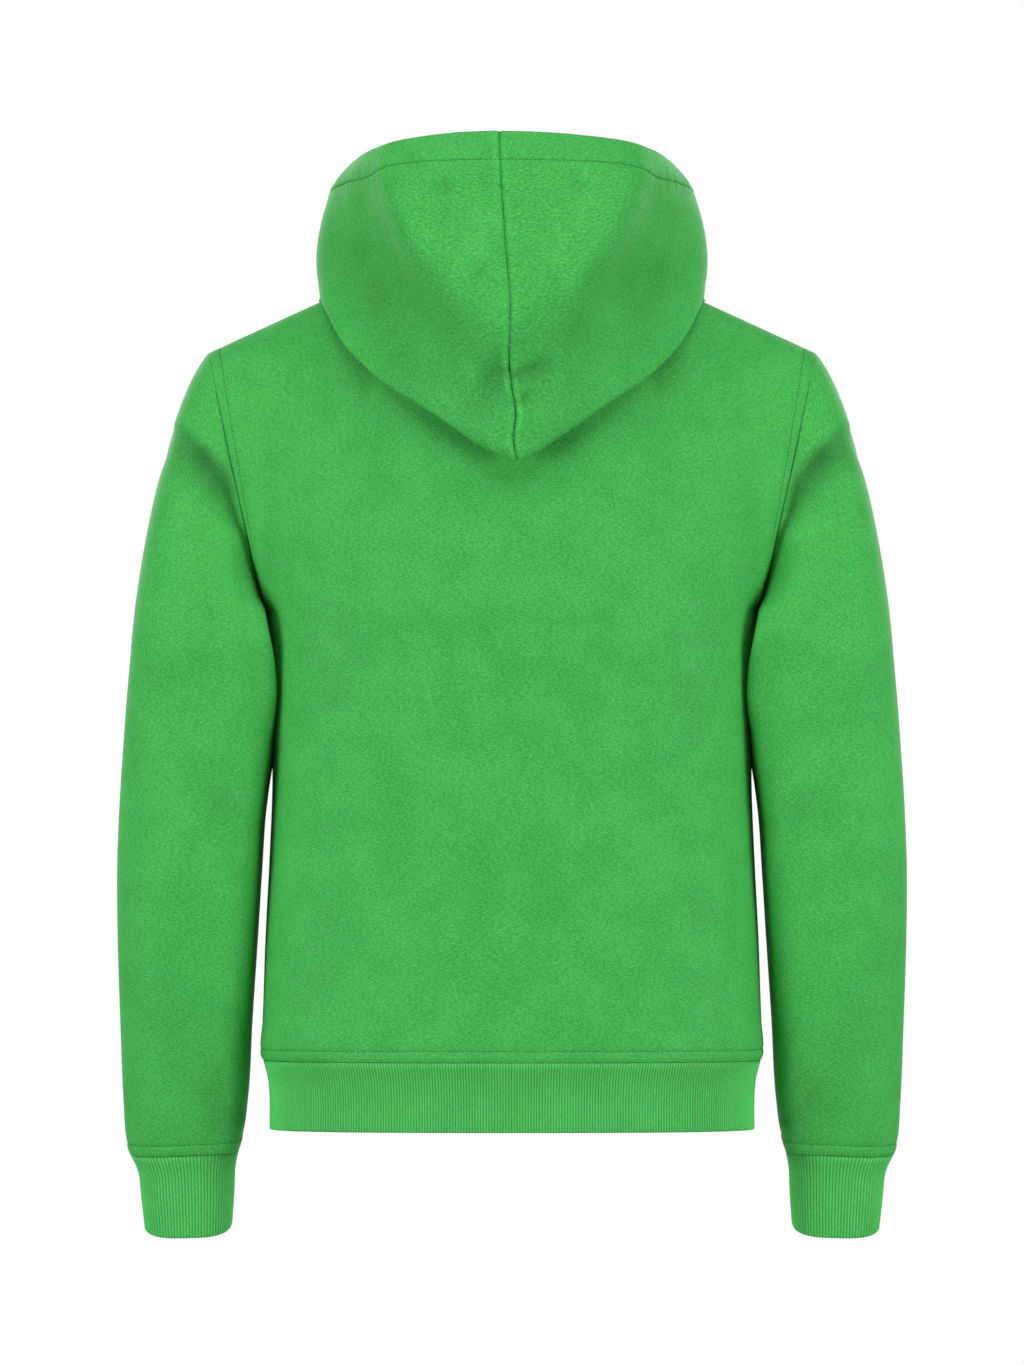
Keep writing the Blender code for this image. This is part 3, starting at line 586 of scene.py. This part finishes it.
def sleeve_point(around, down):
    """Point of the left sleeve: down runs 0 at the armhole, 1 at the bicep, 2 at the cuff seam."""
    seam = np.where(
        (around <= 0.5)[..., None],
        body_point(BACK, np.ones_like(around), 2 - 2 * around),
        body_point(FRONT, np.ones_like(around), 2 * around),
    )
    start = seam + vector(SLEEVE_GAP, 0, 0)
    bicep = tube_point(SLEEVE, SLEEVE_POWER, BESIDE_POWER, around, np.full_like(around, BICEP))
    length = (start[..., 2] - bicep[..., 2])[..., None]
    hugging = smooth_step(*CAP_HUGS, np.minimum(around, 1 - around))
    out, back, rise = CAP_LEAVE
    lean = vector(out * (1 - CAP_TURNS_IN * hugging), back * np.sin(around * 2 * np.pi), rise)
    cap = hermite(start, lean * length, bicep, np.array(CAP_ARRIVE) * length, np.clip(down, 0, 1)[..., None])
    height = BICEP + np.clip(down - 1, 0, 1) * (CUFF_SEAM - BICEP)
    hanging = tube_point(SLEEVE, SLEEVE_POWER, BESIDE_POWER, around, height)
    return np.where((down <= 1)[..., None], cap, hanging)


def beside_body(points):
    """The points kept clear of the body's side below the underarm, and pressed to it near the top."""
    x, y, z = np.moveaxis(points, -1, 0)
    height = np.minimum(z, UNDERARM)
    beside = body_side(y, height) + BESIDE_BODY
    x = np.where(z < UNDERARM + UNDERARM_EASE, np.maximum(x, beside), x)
    lap = LAP + LAP_BELOW * smooth_step(-0.01, 0.05, UNDERARM - height)
    line = np.maximum(beside, look_up(BODY, "half_width", height) - lap)
    pressed = smooth_step(PRESSED_TO, PRESSED_TO + PRESSED_FADE, z)
    pressed = pressed * (1 - smooth_step(PRESSED_FROM, UNDERARM + UNDERARM_EASE, z))
    gap = x - line
    squeezed = np.where(gap > 0, gap * smooth_step(0, PRESSED, gap), 0)
    x = np.where(x < PRESSED_WITHIN, x + pressed * (squeezed - gap), x)
    return vector(x, y, z)


cuff_rows = 2 - near_seam[::-1] / (BICEP - CUFF_SEAM)
cap_rows = np.linspace(near_seam[6] / CAP_LENGTH, 1, 50)[1:]
arm_rows = np.linspace(1, cuff_rows[0], 92)[1:-1]
sleeve_rows = np.concatenate((near_seam[:7] / CAP_LENGTH, cap_rows, arm_rows, cuff_rows))
under_arm_seam = np.array((-0.012, -0.006, -0.003, -0.0015, 0, 0.0015, 0.003, 0.006, 0.012)) + 0.5
sleeve_columns = np.concatenate((np.linspace(0, 0.475, 38), under_arm_seam, np.linspace(0.525, 1, 38)))
down, around = np.meshgrid(sleeve_rows, sleeve_columns, indexing="ij")
sleeve = beside_body(sleeve_point(around, down))
outwards = grid_normals(sleeve)
from_cuff = (2 - down) * (BICEP - CUFF_SEAM)
creases = folds(sleeve, SLEEVE_FOLDS, on_face) * smooth_step(0, CREASE_FROM, down * CAP_LENGTH)
relief = seam_relief(from_cuff) - 0.6 * SEAM_ROLL * hump(down * CAP_LENGTH, 0, 0.0012)
relief -= 0.0010 * hump(around, 0.5, 0.003) + creases
# Painted shade: the creases, the cuff seam and its row, and the armhole seam are painted darker.
sleeve_painted_shade = creases / FOLD_FULL + seam_painted_shade(from_cuff)
sleeve_painted_shade += 0.10 * hump(down * CAP_LENGTH, 0, 0.0008)
sleeve = beside_body(sleeve + outwards * relief[..., None])
sleeve[:, -1] = sleeve[:, 0]

for side, word in ((LEFT, "left"), (RIGHT, "right")):
    piece = cloth_piece(
        f"sleeve_{word}_cloth",
        sleeve * MIRROR[side],
        fleece,
        flip=side == LEFT,
        tube=True,
        wall=FLEECE_WALL,
        painted_shade=sleeve_painted_shade,
    )
    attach(piece, "root")
    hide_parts(f"sleeve_{word}")


# ---- Hood ----
# Two halves of the same fleece, joined over the head by one seam that wanders a little and puckers
# where it was stretched in sewing. Down, the hood stands at the neck, rolls over, falls on the back
# to a point, and comes up again outside to the wide hem of its opening.

HOOD_WALL = 0.0022

# Lines round the hood, like the neckline: the fold at its foot, waist, belly and crown above it, and
# the opening's edge. The bulge says how far the cloth between crown and edge curves out.
FOLD = table(
    "angle radius height",
    (0, 0.1340, -0.1601),
    (8, 0.1340, -0.1525),
    (18, 0.1345, -0.1369),
    (32, 0.1365, -0.1147),
    (46, 0.1405, -0.0950),
    (60, 0.1450, -0.0705),
    (82, 0.1480, -0.0300),
    (100, 0.1430, -0.0340),
    (120, 0.1300, -0.0560),
    (145, 0.1140, -0.0800),
    (165, 0.0980, -0.0900),
    (180, 0.0870, -0.0860),
)
WAIST = table(
    "angle radius height",
    (0, 0.1510, -0.1080),
    (10, 0.1500, -0.0980),
    (20, 0.1430, -0.0800),
    (33, 0.1350, -0.0560),
    (45, 0.1325, -0.0500),
    (60, 0.1380, -0.0430),
    (82, 0.1500, -0.0140),
    (110, 0.1430, -0.0280),
    (140, 0.1225, -0.0580),
    (165, 0.1005, -0.0810),
    (180, 0.0885, -0.0820),
)
BELLY = table(
    "angle radius height",
    (0, 0.1735, -0.0620),
    (10, 0.1760, -0.0400),
    (20, 0.1795, -0.0080),
    (26, 0.1805, 0.0200),
    (33, 0.1725, 0.0400),
    (45, 0.1520, 0.0320),
    (60, 0.1455, 0.0180),
    (82, 0.1520, 0.0060),
    (110, 0.1450, -0.0100),
    (140, 0.1240, -0.0400),
    (165, 0.1010, -0.0720),
    (180, 0.0885, -0.0780),
)
CROWN = table(
    "angle radius height",
    (0, 0.1590, 0.0250),
    (10, 0.1615, 0.0280),
    (20, 0.1680, 0.0370),
    (26, 0.1725, 0.0470),
    (33, 0.1710, 0.0570),
    (45, 0.1555, 0.0580),
    (60, 0.1465, 0.0520),
    (82, 0.1455, 0.0450),
    (110, 0.1340, 0.0220),
    (140, 0.1120, -0.0220),
    (165, 0.0920, -0.0600),
    (180, 0.0840, -0.0710),
)
OPENING = table(
    "angle radius height bulge",
    (0, 0.1430, 0.0892, 0.03),
    (20, 0.1500, 0.0870, 0.04),
    (33, 0.1580, 0.0832, 0.05),
    (45, 0.1490, 0.0802, 0.07),
    (60, 0.1350, 0.0785, 0.10),
    (82, 0.1270, 0.0715, 0.10),
    (110, 0.1130, 0.0400, 0.14),
    (140, 0.0950, -0.0110, 0.10),
    (165, 0.0830, -0.0540, 0.08),
    (180, 0.0795, -0.0680, 0.06),
)

# The stand, the roll and the fall lie this far out from the neck seam and above it, and the lowest
# line this far in from the fold. Towards the front these distances shrink.
NECK_GAP = 0.0009
STAND_RISE, STAND_IN = 0.014, 0.002
ROLL_OUT, ROLL_RISE = 0.009, 0.024
FALL_OUT, FALL_RISE = 0.021, 0.013
FOLD_IN, FOLD_RISE = 0.014, 0.012
FRONT_FROM, FRONT_SHARE = 105, 0.14
HOOD_END = 179.7
LAY_GAP, LAY_REACH = 0.0012, 0.05         # the hood is kept this far from the panels under it

# How far the centre seam wanders to the wearer's left, by height; the cloth beside it goes along.
SEAM_SWAY = table(
    "height sway",
    (-0.160, -0.0040),
    (-0.145, -0.0010),
    (-0.128, -0.0030),
    (-0.100, 0.0010),
    (-0.040, 0.0015),
    (0.010, 0.0055),
    (0.060, 0.0085),
    (0.095, 0.0100),
)
SWAY_REACH = 40            # in degrees
HOOD_HEM, HEM_LIFT = 0.0235, 0.0004
PUCKER, HEM_WAVE, SEAM_DIP = 0.0007, 0.0007, 0.0015
# The hood's painted shade: a fold this deep is painted wholly dark, and a seam edge lifted this far gets a
# painted highlight.
HOOD_FOLD_FULL = 0.0035    # depth of a fold that has the whole shade; folds are shallower here
EDGE_LIGHT = 0.0017        # a seam edge lifted by this much is as much lighter as such a fold is darker
SEAM_RADIUS = 0.15         # from the neck's middle to the centre seam, to turn angles into lengths

# Dimples, short folds and (negative) ridges in the outside of the hood: its sides aren't alike.
HOOD_FOLDS = table(
    "side x0 z0 x1 z1 depth above below",
    (LEFT, 0.008, -0.084, 0.023, -0.118, 0.0030, 0.0090, 0.0150),
    (LEFT, 0.035, -0.086, 0.030, -0.104, -0.0020, 0.0045, 0.0045),
    (RIGHT, -0.003, -0.097, -0.030, -0.088, 0.0032, 0.0035, 0.0110),
    (RIGHT, -0.002, -0.118, -0.016, -0.109, 0.0024, 0.0030, 0.0070),
    (RIGHT, -0.034, -0.078, -0.037, -0.100, -0.0018, 0.0045, 0.0045),
    (LEFT, 0.030, -0.028, 0.019, -0.012, 0.0020, 0.0045, 0.0055),
    (RIGHT, -0.028, -0.020, -0.035, -0.032, 0.0018, 0.0040, 0.0050),
    (LEFT, 0.014, 0.002, 0.013, -0.006, 0.0012, 0.0045, 0.0045),
    (LEFT, 0.051, 0.053, 0.053, 0.040, 0.0020, 0.0080, 0.0080),
    (LEFT, 0.018, 0.058, 0.019, 0.046, 0.0016, 0.0055, 0.0055),
    (RIGHT, -0.014, 0.060, -0.014, 0.052, 0.0015, 0.0030, 0.0030),
    (RIGHT, -0.044, 0.053, -0.053, 0.041, 0.0020, 0.0065, 0.0065),
    (LEFT, 0.019, 0.082, 0.018, 0.070, 0.0011, 0.0055, 0.0055),
    (RIGHT, -0.053, 0.080, -0.052, 0.072, 0.0012, 0.0055, 0.0055),
    (LEFT, 0.077, 0.073, 0.078, 0.062, 0.0012, 0.0070, 0.0070),
    (LEFT, 0.122, 0.016, 0.102, -0.030, 0.0010, 0.0140, 0.0160),
    (LEFT, 0.108, -0.014, 0.088, -0.066, 0.0011, 0.0150, 0.0170),
    (RIGHT, -0.118, 0.006, -0.104, -0.034, 0.0009, 0.0140, 0.0160),
    (RIGHT, -0.110, -0.020, -0.092, -0.062, 0.0010, 0.0150, 0.0170),
)

# The seam's allowance lifts one edge of the centre seam or the other, by height.
SEAM_EDGES = table(
    "height left right",
    (-0.160, 0.0006, 0.0006),
    (-0.149, 0.0013, 0.0005),
    (-0.132, 0.0003, 0.0016),
    (-0.116, 0.0004, 0.0015),
    (-0.104, 0.0016, 0.0006),
    (-0.090, 0.0018, 0.0003),
    (-0.074, 0.0007, 0.0003),
    (-0.050, 0.0004, 0.0004),
    (0.095, 0.0004, 0.0004),
)
SEAM_PINCH = -0.101        # height at which the seam is caught up


def hood_lines(angle):
    """Radius and height of the hood's lines at these angles: seam, stand, roll, fall ... edge."""
    neck, fold = ring_line(NECKLINE, angle), ring_line(FOLD, angle)
    waist, belly, crown, edge = (ring_line(rows, angle) for rows in (WAIST, BELLY, CROWN, OPENING))
    size = 1 - (1 - FRONT_SHARE) * smooth_step(FRONT_FROM, 180, angle)

    def off(line, out, rise):
        return line + np.stack((out * size, rise * size), axis=-1)

    bulge = look_up(OPENING, "bulge", angle, level_ends=True)
    brow = (crown + edge) / 2 + (edge - crown)[:, ::-1] * np.stack((bulge, -bulge), axis=-1)
    lowest = off(fold, -FOLD_IN, FOLD_RISE)
    fall = off(neck, FALL_OUT, FALL_RISE)
    rise = (neck + np.array((0, NECK_GAP)), off(neck, -STAND_IN, STAND_RISE), off(neck, ROLL_OUT, ROLL_RISE))
    return np.stack(
        (*rise, fall, (fall + lowest) / 2, lowest, fold, waist, belly, crown, brow, edge)
    )


def through_lines(lines, places):
    """Points on smooth curves through the lines: place 2.5 is halfway from line 2 to line 3."""
    reach = np.linalg.norm(np.diff(lines, axis=0), axis=-1)
    knots = np.concatenate((np.zeros((1, lines.shape[1])), np.cumsum(reach, axis=0)))[..., None]
    pace = np.diff(lines, axis=0) / np.diff(knots, axis=0)
    slopes = np.empty_like(lines)
    slopes[0], slopes[-1] = pace[0], pace[-1]
    before, after = reach[:-1, :, None], reach[1:, :, None]
    slopes[1:-1] = (pace[:-1] * after + pace[1:] * before) / (before + after)
    points = []
    for place in places:
        low = min(int(place), len(lines) - 2)
        step = knots[low + 1] - knots[low]
        points.append(
            hermite(lines[low], slopes[low] * step, lines[low + 1], slopes[low + 1] * step, place - low)
        )
    return np.stack(points)


panel_trees = []
for panel in panels.values():
    shape = bmesh.new()
    shape.from_mesh(panel.data)
    panel_trees.append(BVHTree.FromBMesh(shape))
    shape.free()


def laid_on_body(points, first_row):
    """The points moved out of the panels wherever they lie closer to them than the gap."""
    for row in range(first_row, len(points)):
        for column in range(points.shape[1]):
            for tree in panel_trees:
                spot = Vector(points[row, column])
                nearest, normal, _, reach = tree.find_nearest(spot)
                short = LAY_GAP - (spot - nearest).dot(normal)
                if short > 0 and reach < LAY_REACH:
                    points[row, column] = spot + normal * short
    return points


# Columns run from the centre seam to the front, and rows from the neck seam to the fold, then up the
# outside, where the rows of the hem keep their distance from the opening's edge.
seam_angles = np.array((0, 0.25, 0.5, 0.8, 1.2, 1.7, 2.3, 3.0, 3.8, 4.8, 6.0))
hood_angles = np.concatenate(
    (seam_angles, np.linspace(7, 60, 62), np.linspace(61.5, 174, 74), (175, 176.5, 178, 179, HOOD_END))
)
FOLD_LINE, EDGE_LINE = 6, 11    # places of the fold and the opening's edge among the hood's lines
FIRST_LAID_ROW = 6         # the rows before it are sewn to the neckline
millimetres = (30, 28, 26, 24.9, 24.2, 23.5, 22.8, 22.1, 21, 18, 14, 10, 6, 3.2, 1.8, 0.8, 0)
hem_distances = np.array(millimetres) / 1000
lines = hood_lines(hood_angles)
inside_shape = through_lines(lines, np.linspace(0, FOLD_LINE, 46))
outside_shape = through_lines(lines, np.linspace(FOLD_LINE, EDGE_LINE, 401))
up_cloth = np.cumsum(np.linalg.norm(np.diff(outside_shape, axis=0), axis=-1), axis=0)
up_cloth = np.concatenate((np.zeros((1, up_cloth.shape[1])), up_cloth))
# At the front, where the hood is low, the hem's rows move together into this share of its height.
HEM_SHARE = 0.6
squeeze = np.minimum(1, HEM_SHARE * up_cloth[-1] / hem_distances[0])
hem_rows = up_cloth[-1] - hem_distances[:, None] * squeeze
wanted = np.concatenate((np.linspace(0, 1, 68)[1:-1, None] * hem_rows[0], hem_rows))


def at_lengths(column):
    """Radius and height of one column of the outside at the wanted lengths up the cloth."""
    run, shape = up_cloth[:, column], outside_shape[:, column]
    return np.stack([np.interp(wanted[:, column], run, shape[:, axis]) for axis in (0, 1)], axis=-1)


outside_rows = np.stack([at_lengths(column) for column in range(len(hood_angles))], axis=1)
radius, height = np.moveaxis(np.concatenate((inside_shape, outside_rows)), -1, 0)
turn = np.radians(hood_angles)
hood = laid_on_body(vector(radius * np.sin(turn), radius * np.cos(turn), height), FIRST_LAID_ROW)
outside = (np.arange(len(hood)) >= len(inside_shape))[:, None]
from_edge = np.full(hood.shape[:2], 1.0)
from_edge[len(inside_shape) :] = (up_cloth[-1] - wanted) / squeeze
hem_row = len(hood) - len(hem_distances) + int(np.argmin(np.abs(hem_distances - HOOD_HEM)))
from_seam = turn[None, :] * SEAM_RADIUS * np.ones_like(from_edge)
outwards = grid_normals(hood)
hood_halves = {}
for side, word in ((LEFT, "left"), (RIGHT, "right")):
    height = hood[..., 2] * (1 + 0.03 * side)
    pucker = np.sin(height * 520 + 1.7 * np.sin(height * 97 + side)) * np.sin(height * 131 + 2 * side)
    beside_seam = hump(from_seam, 0.005, 0.0065) * outside
    lifted = look_up(SEAM_EDGES, word, hood[..., 2]) * outside
    relief = -SEAM_DIP * hump(from_seam, 0, 0.0013) + lifted * hump(from_seam, 0.0032, 0.0020)
    relief += PUCKER * pucker * beside_seam
    relief -= 0.0014 * hump(hood[..., 2], SEAM_PINCH, 0.0030) * hump(from_seam, 0.002, 0.0050) * outside
    relief += HEM_LIFT * smooth_step(HOOD_HEM + 0.0005, HOOD_HEM - 0.0008, from_edge)
    relief -= 0.8 * STITCH_SINK * hump(from_edge, HOOD_HEM, 0.0010) + 0.0009 * hump(from_edge, 0, 0.0009)
    wave = np.sin(hood_angles * 1.9 + 2 * np.sin(hood_angles * 0.31 + side))
    wave = wave * np.sin(hood_angles * 0.53 + side)
    relief += HEM_WAVE * wave * hump(from_edge, HOOD_HEM, 0.0065)
    angle = np.degrees(np.arctan2(hood[..., 0], hood[..., 1]))
    near = (1 - smooth_step(0, SWAY_REACH, angle)) * (hood[..., 1] > 0)
    sway = vector(near * look_up(SEAM_SWAY, "sway", hood[..., 2]), 0, 0)
    placed = hood * MIRROR[side] + sway

    def on_half(points, owner, side=side):
        return (points[..., 1] > 0) & outside & (owner == side)

    creases = folds(placed, HOOD_FOLDS, on_half)
    relief -= creases
    # Painted light and shade: folds, the centre seam and the hem's row darker; lifted seam edges and pucker
    # crests lighter.
    painted_shade = creases / HOOD_FOLD_FULL + 0.5 * hump(from_seam, 0, 0.0010)
    painted_shade -= lifted / EDGE_LIGHT * hump(from_seam, 0.0034, 0.0022)
    painted_shade += 0.15 * hump(from_edge, HOOD_HEM, 0.0008) - 0.25 * pucker * beside_seam
    half = (hood + outwards * relief[..., None]) * MIRROR[side] + sway
    hood_halves[side] = half, outwards * MIRROR[side]
    piece = cloth_piece(f"hood_{word}_cloth", half, fleece, flip=side == LEFT, wall=HOOD_WALL, painted_shade=painted_shade)
    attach(piece, "root")
    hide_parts(f"hood_{word}")


# ---- Hem rib ----
# One band of 1x1 rib knit, folded double and stretched onto the body's lower edge, which draws the
# fleece in. Its ribs are 2.1 mm apart, as the real ones are, and roll over the folded bottom edge.

RIB_WALL, RIB_RELIEF = 0.0030, 0.0009
HEM_RIBS = 460
HEM_MIDDLE = -0.645        # height at which the ribs are equally far apart
RIB_POINTS = 4             # columns to a rib
# Painted shade: the valleys between the ribs are painted darker by this share.
RIB_SHADE = 0.50           # how much darker the valleys between the ribs are
HEM_RIB = table(
    "height half_width back front",
    (-0.6678, 0.1872, 0.1020, 0.1040),
    (-0.6400, 0.1874, 0.1025, 0.1042),
    (-0.6290, 0.1884, 0.1038, 0.1052),
    (-0.6148, 0.1920, 0.1078, 0.1088),
)

# Rib knit of the same yarn: matt, with hardly any nap, because it isn't brushed. The ribs' tops are
# lighter than the fleece, and painted shade in the valleys between them brings the whole down to the
# fleece's green.
# The fine grain is the knit's stitches, 1.1 mm tall, drawn at 1.6 mm so that they show.
RIB_GRAIN, RIB_NAP = 0.0016, 0.03
rib_knit = fleece_material(
    "cotton_rib_knit", "#59d466", "#66e073", "#4bc658", RIB_GRAIN, RIB_NAP, RIB_SHADE
)


def hem_ring(around, height):
    """Point of the body's lower edge as the rib holds it: around runs 0 to 1 from the left side."""
    turn = around * 2 * np.pi
    back = np.sin(turn) >= 0
    depth = np.where(back, look_up(HEM_RIB, "back", height), look_up(HEM_RIB, "front", height))
    x = look_up(HEM_RIB, "half_width", height) * np.sign(np.cos(turn)) * np.abs(np.cos(turn)) ** BODY_POWER
    return vector(x, np.where(back, 1, -1) * depth * np.abs(np.sin(turn)) ** BODY_POWER, height)


def even_turns(ring, height, count):
    """Turns at which a closed ring's points are equally far apart, the last one back at the first."""
    fine = np.linspace(0, 1, 4001)
    steps = np.linalg.norm(np.diff(ring(fine, np.full(len(fine), height)), axis=0), axis=-1)
    run = np.concatenate(((0,), np.cumsum(steps)))
    return np.interp(np.linspace(0, run[-1], count + 1), run, fine)


def rib_profile(height):
    """Places down the outside, round the fold and up the inside: share of the height, inset."""
    round_off = RIB_WALL / 2
    down = np.linspace(0, 1 - round_off / height, 13)
    arc = np.linspace(0, np.pi, 7)[1:-1]
    fold = 1 - (1 - np.sin(arc)) * round_off / height
    outer = np.stack((down, 0 * down), axis=-1)
    bottom = np.stack((fold, round_off * (1 - np.cos(arc))), axis=-1)
    inner = np.stack((down[::-1][::2], np.full(7, RIB_WALL)), axis=-1)
    return np.concatenate((outer, bottom, inner, outer[:1]))


def ribbed(ring, turns, top, bottom):
    """Rings down the outside, round the fold and up the inside of a ribbed band, and their painted shade."""
    count = len(turns) - 1
    wave = 0.5 - 0.5 * np.cos(np.arange(count + 1) / RIB_POINTS * 2 * np.pi)
    rows = []
    for share, inset in rib_profile(top - bottom):
        line = ring(turns, np.full(count + 1, top + share * (bottom - top)))
        sideways = np.roll(line[:-1], -1, axis=0) - np.roll(line[:-1], 1, axis=0)
        sideways = np.concatenate((sideways, sideways[:1]))
        inwards = np.stack((-sideways[:, 1], sideways[:, 0], 0 * sideways[:, 0]), axis=-1)
        inwards /= np.linalg.norm(inwards, axis=-1, keepdims=True)
        relief = RIB_RELIEF * wave * (1 if inset < RIB_WALL / 2 else -1) * smooth_step(0, 0.10, share)
        rows.append(line + inwards * (inset + relief)[:, None])
    return np.stack(rows), np.tile(wave, (len(rows), 1))


hem_turns = even_turns(hem_ring, HEM_MIDDLE, HEM_RIBS * RIB_POINTS)
hem, rib_painted_shade = ribbed(hem_ring, hem_turns, HEM_RIB["height"][-1], HEM_RIB["height"][0])
piece = cloth_piece("hem_rib_knit", hem, rib_knit, flip=True, tube=True, painted_shade=rib_painted_shade)
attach(piece, "root")
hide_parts("hem_rib")


# ---- Cuffs ----
# Two short tubes of the same rib knit, folded double and drawn in to the wrist, each sewn to the end
# of its sleeve.

CUFF_RIBS = 98
CUFF_MIDDLE = -0.72
CUFF = table(
    "height inner outer middle half_depth tilt lean",
    (-0.6848, 0.2117, 0.2963, -0.023, 0.0398, 0.10, 0.04),
    (-0.6985, 0.2147, 0.2902, -0.024, 0.0362, 0.11, 0.03),
    (-0.7160, 0.2155, 0.2880, -0.025, 0.0345, 0.18, 0.02),
    (-0.7422, 0.2172, 0.2850, -0.027, 0.0330, 0.30, 0.02),
)


def cuff_ring(turns, height):
    return tube_point(CUFF, SLEEVE_POWER, SLEEVE_POWER, turns, height)


cuff_turns = even_turns(cuff_ring, CUFF_MIDDLE, CUFF_RIBS * RIB_POINTS)
cuff, rib_painted_shade = ribbed(cuff_ring, cuff_turns, CUFF["height"][0], CUFF["height"][-1])
for side, word in ((LEFT, "left"), (RIGHT, "right")):
    shaped = cuff * MIRROR[side]
    piece = cloth_piece(f"cuff_{word}_knit", shaped, rib_knit, flip=side == LEFT, tube=True, painted_shade=rib_painted_shade)
    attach(piece, "root")
    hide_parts(f"cuff_{word}")


# ---- Stitching ----
# Green polyester thread in even lockstitch: two rows beside the hem and cuff seams, and one beside the
# armholes and round the hood's hem. Real stitches are about 2 mm; they are drawn at 2.8 mm to show.

STITCH_PITCH, STITCH_LENGTH = 0.0028, 0.0016
THREAD, THREAD_RISE = 0.0008, 0.00010

# Two painted copies of one thread: the row sunk in the nap has painted shade, the raised row a painted
# highlight.
thread_painted_shade = fleece_material("polyester_thread_painted_shade", "#1d7829", "#258231", "#166e22", 0.0012, 0.0, 0.0)
thread_painted_highlight = fleece_material("polyester_thread_painted_highlight", "#57c363", "#62cd6e", "#4db859", 0.0012, 0.0, 0.0)


def stitch_row(line, outwards):
    """Middle, direction and outward normal of each stitch along a line of points."""
    run = np.concatenate(((0,), np.cumsum(np.linalg.norm(np.diff(line, axis=0), axis=-1))))
    places = np.arange(STITCH_PITCH / 2, run[-1], STITCH_PITCH)

    def at(values, where):
        return np.stack([np.interp(where, run, values[:, axis]) for axis in range(3)], axis=-1)

    middle, normal = at(line, places), at(outwards, places)
    ahead = at(line, places + STITCH_LENGTH / 2) - at(line, places - STITCH_LENGTH / 2)
    return middle, ahead, normal


# One stitch is a rounded grain of six sides, 1 long: a corner at the top, three rings, one below.
SIDES = 6
turn, tilt = np.meshgrid(np.radians(30 + 60 * np.arange(SIDES)), np.radians((45, 90, 135)))
rings = vector(np.sin(tilt) * np.cos(turn), np.sin(tilt) * np.sin(turn), np.cos(tilt)) / 2
grain = np.concatenate(([(0, 0, 0.5)], rings.reshape(-1, 3), [(0, 0, -0.5)]))
grain_faces = []
for a, b in zip(range(SIDES), (*range(1, SIDES), 0)):
    top, middle, low = ((1 + SIDES * ring + a, 1 + SIDES * ring + b) for ring in range(3))
    grain_faces += [(0, *top), (*top[::-1], *middle), (*middle[::-1], *low), (*low[::-1], len(grain) - 1)]


def stitching(name, thread, rows):
    """All the stitches of some rows as one mesh of such grains."""
    middle, ahead, normal = (np.concatenate(parts) for parts in zip(*(stitch_row(*row) for row in rows)))
    ahead /= np.maximum(np.linalg.norm(ahead, axis=-1, keepdims=True), 1e-9)
    normal -= ahead * (normal * ahead).sum(axis=-1, keepdims=True)
    normal /= np.maximum(np.linalg.norm(normal, axis=-1, keepdims=True), 1e-9)
    sideways = np.cross(normal, ahead)
    frames = np.stack((ahead * STITCH_LENGTH, sideways * THREAD, normal * THREAD), axis=1)
    points = grain @ frames + (middle + normal * THREAD_RISE)[:, None, :]
    mesh = bpy.data.meshes.new(name)
    joined = [[i + k * len(grain) for i in face] for k in range(len(middle)) for face in grain_faces]
    mesh.from_pydata(points.reshape(-1, 3).tolist(), [], joined)
    mesh.materials.append(thread)
    mesh.shade_smooth()
    piece = bpy.data.objects.new(name, mesh)
    scene.collection.objects.link(piece)
    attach(piece, "root")
    return piece


NEAR_ROW, FAR_ROW = 2, 8   # places of the two rows among the close rows beside a seam
both_panels = (panel_grids[BACK], panel_grids[FRONT])
sleeve_out = grid_normals(sleeve)
for word, thread, row in (("lower", thread_painted_highlight, NEAR_ROW), ("upper", thread_painted_shade, FAR_ROW)):
    hem_lines = [(points[row], out[row]) for points, out, _ in both_panels]
    stitching(f"hem_stitching_{word}", thread, hem_lines)
    cuff_lines = [(sleeve[-1 - row] * flip, sleeve_out[-1 - row] * flip) for flip in MIRROR.values()]
    stitching(f"cuff_stitching_{word}", thread, cuff_lines)

armhole_lines = [
    (points[armhole_row:, column], out[armhole_row:, column])
    for points, out, _ in both_panels
    for column in (FAR_ROW, -1 - FAR_ROW)
]
stitching("armhole_stitching", thread_painted_shade, armhole_lines)
hood_hem_lines = [(half[hem_row], out[hem_row]) for half, out in hood_halves.values()]
stitching("hood_stitching", thread_painted_shade, hood_hem_lines)
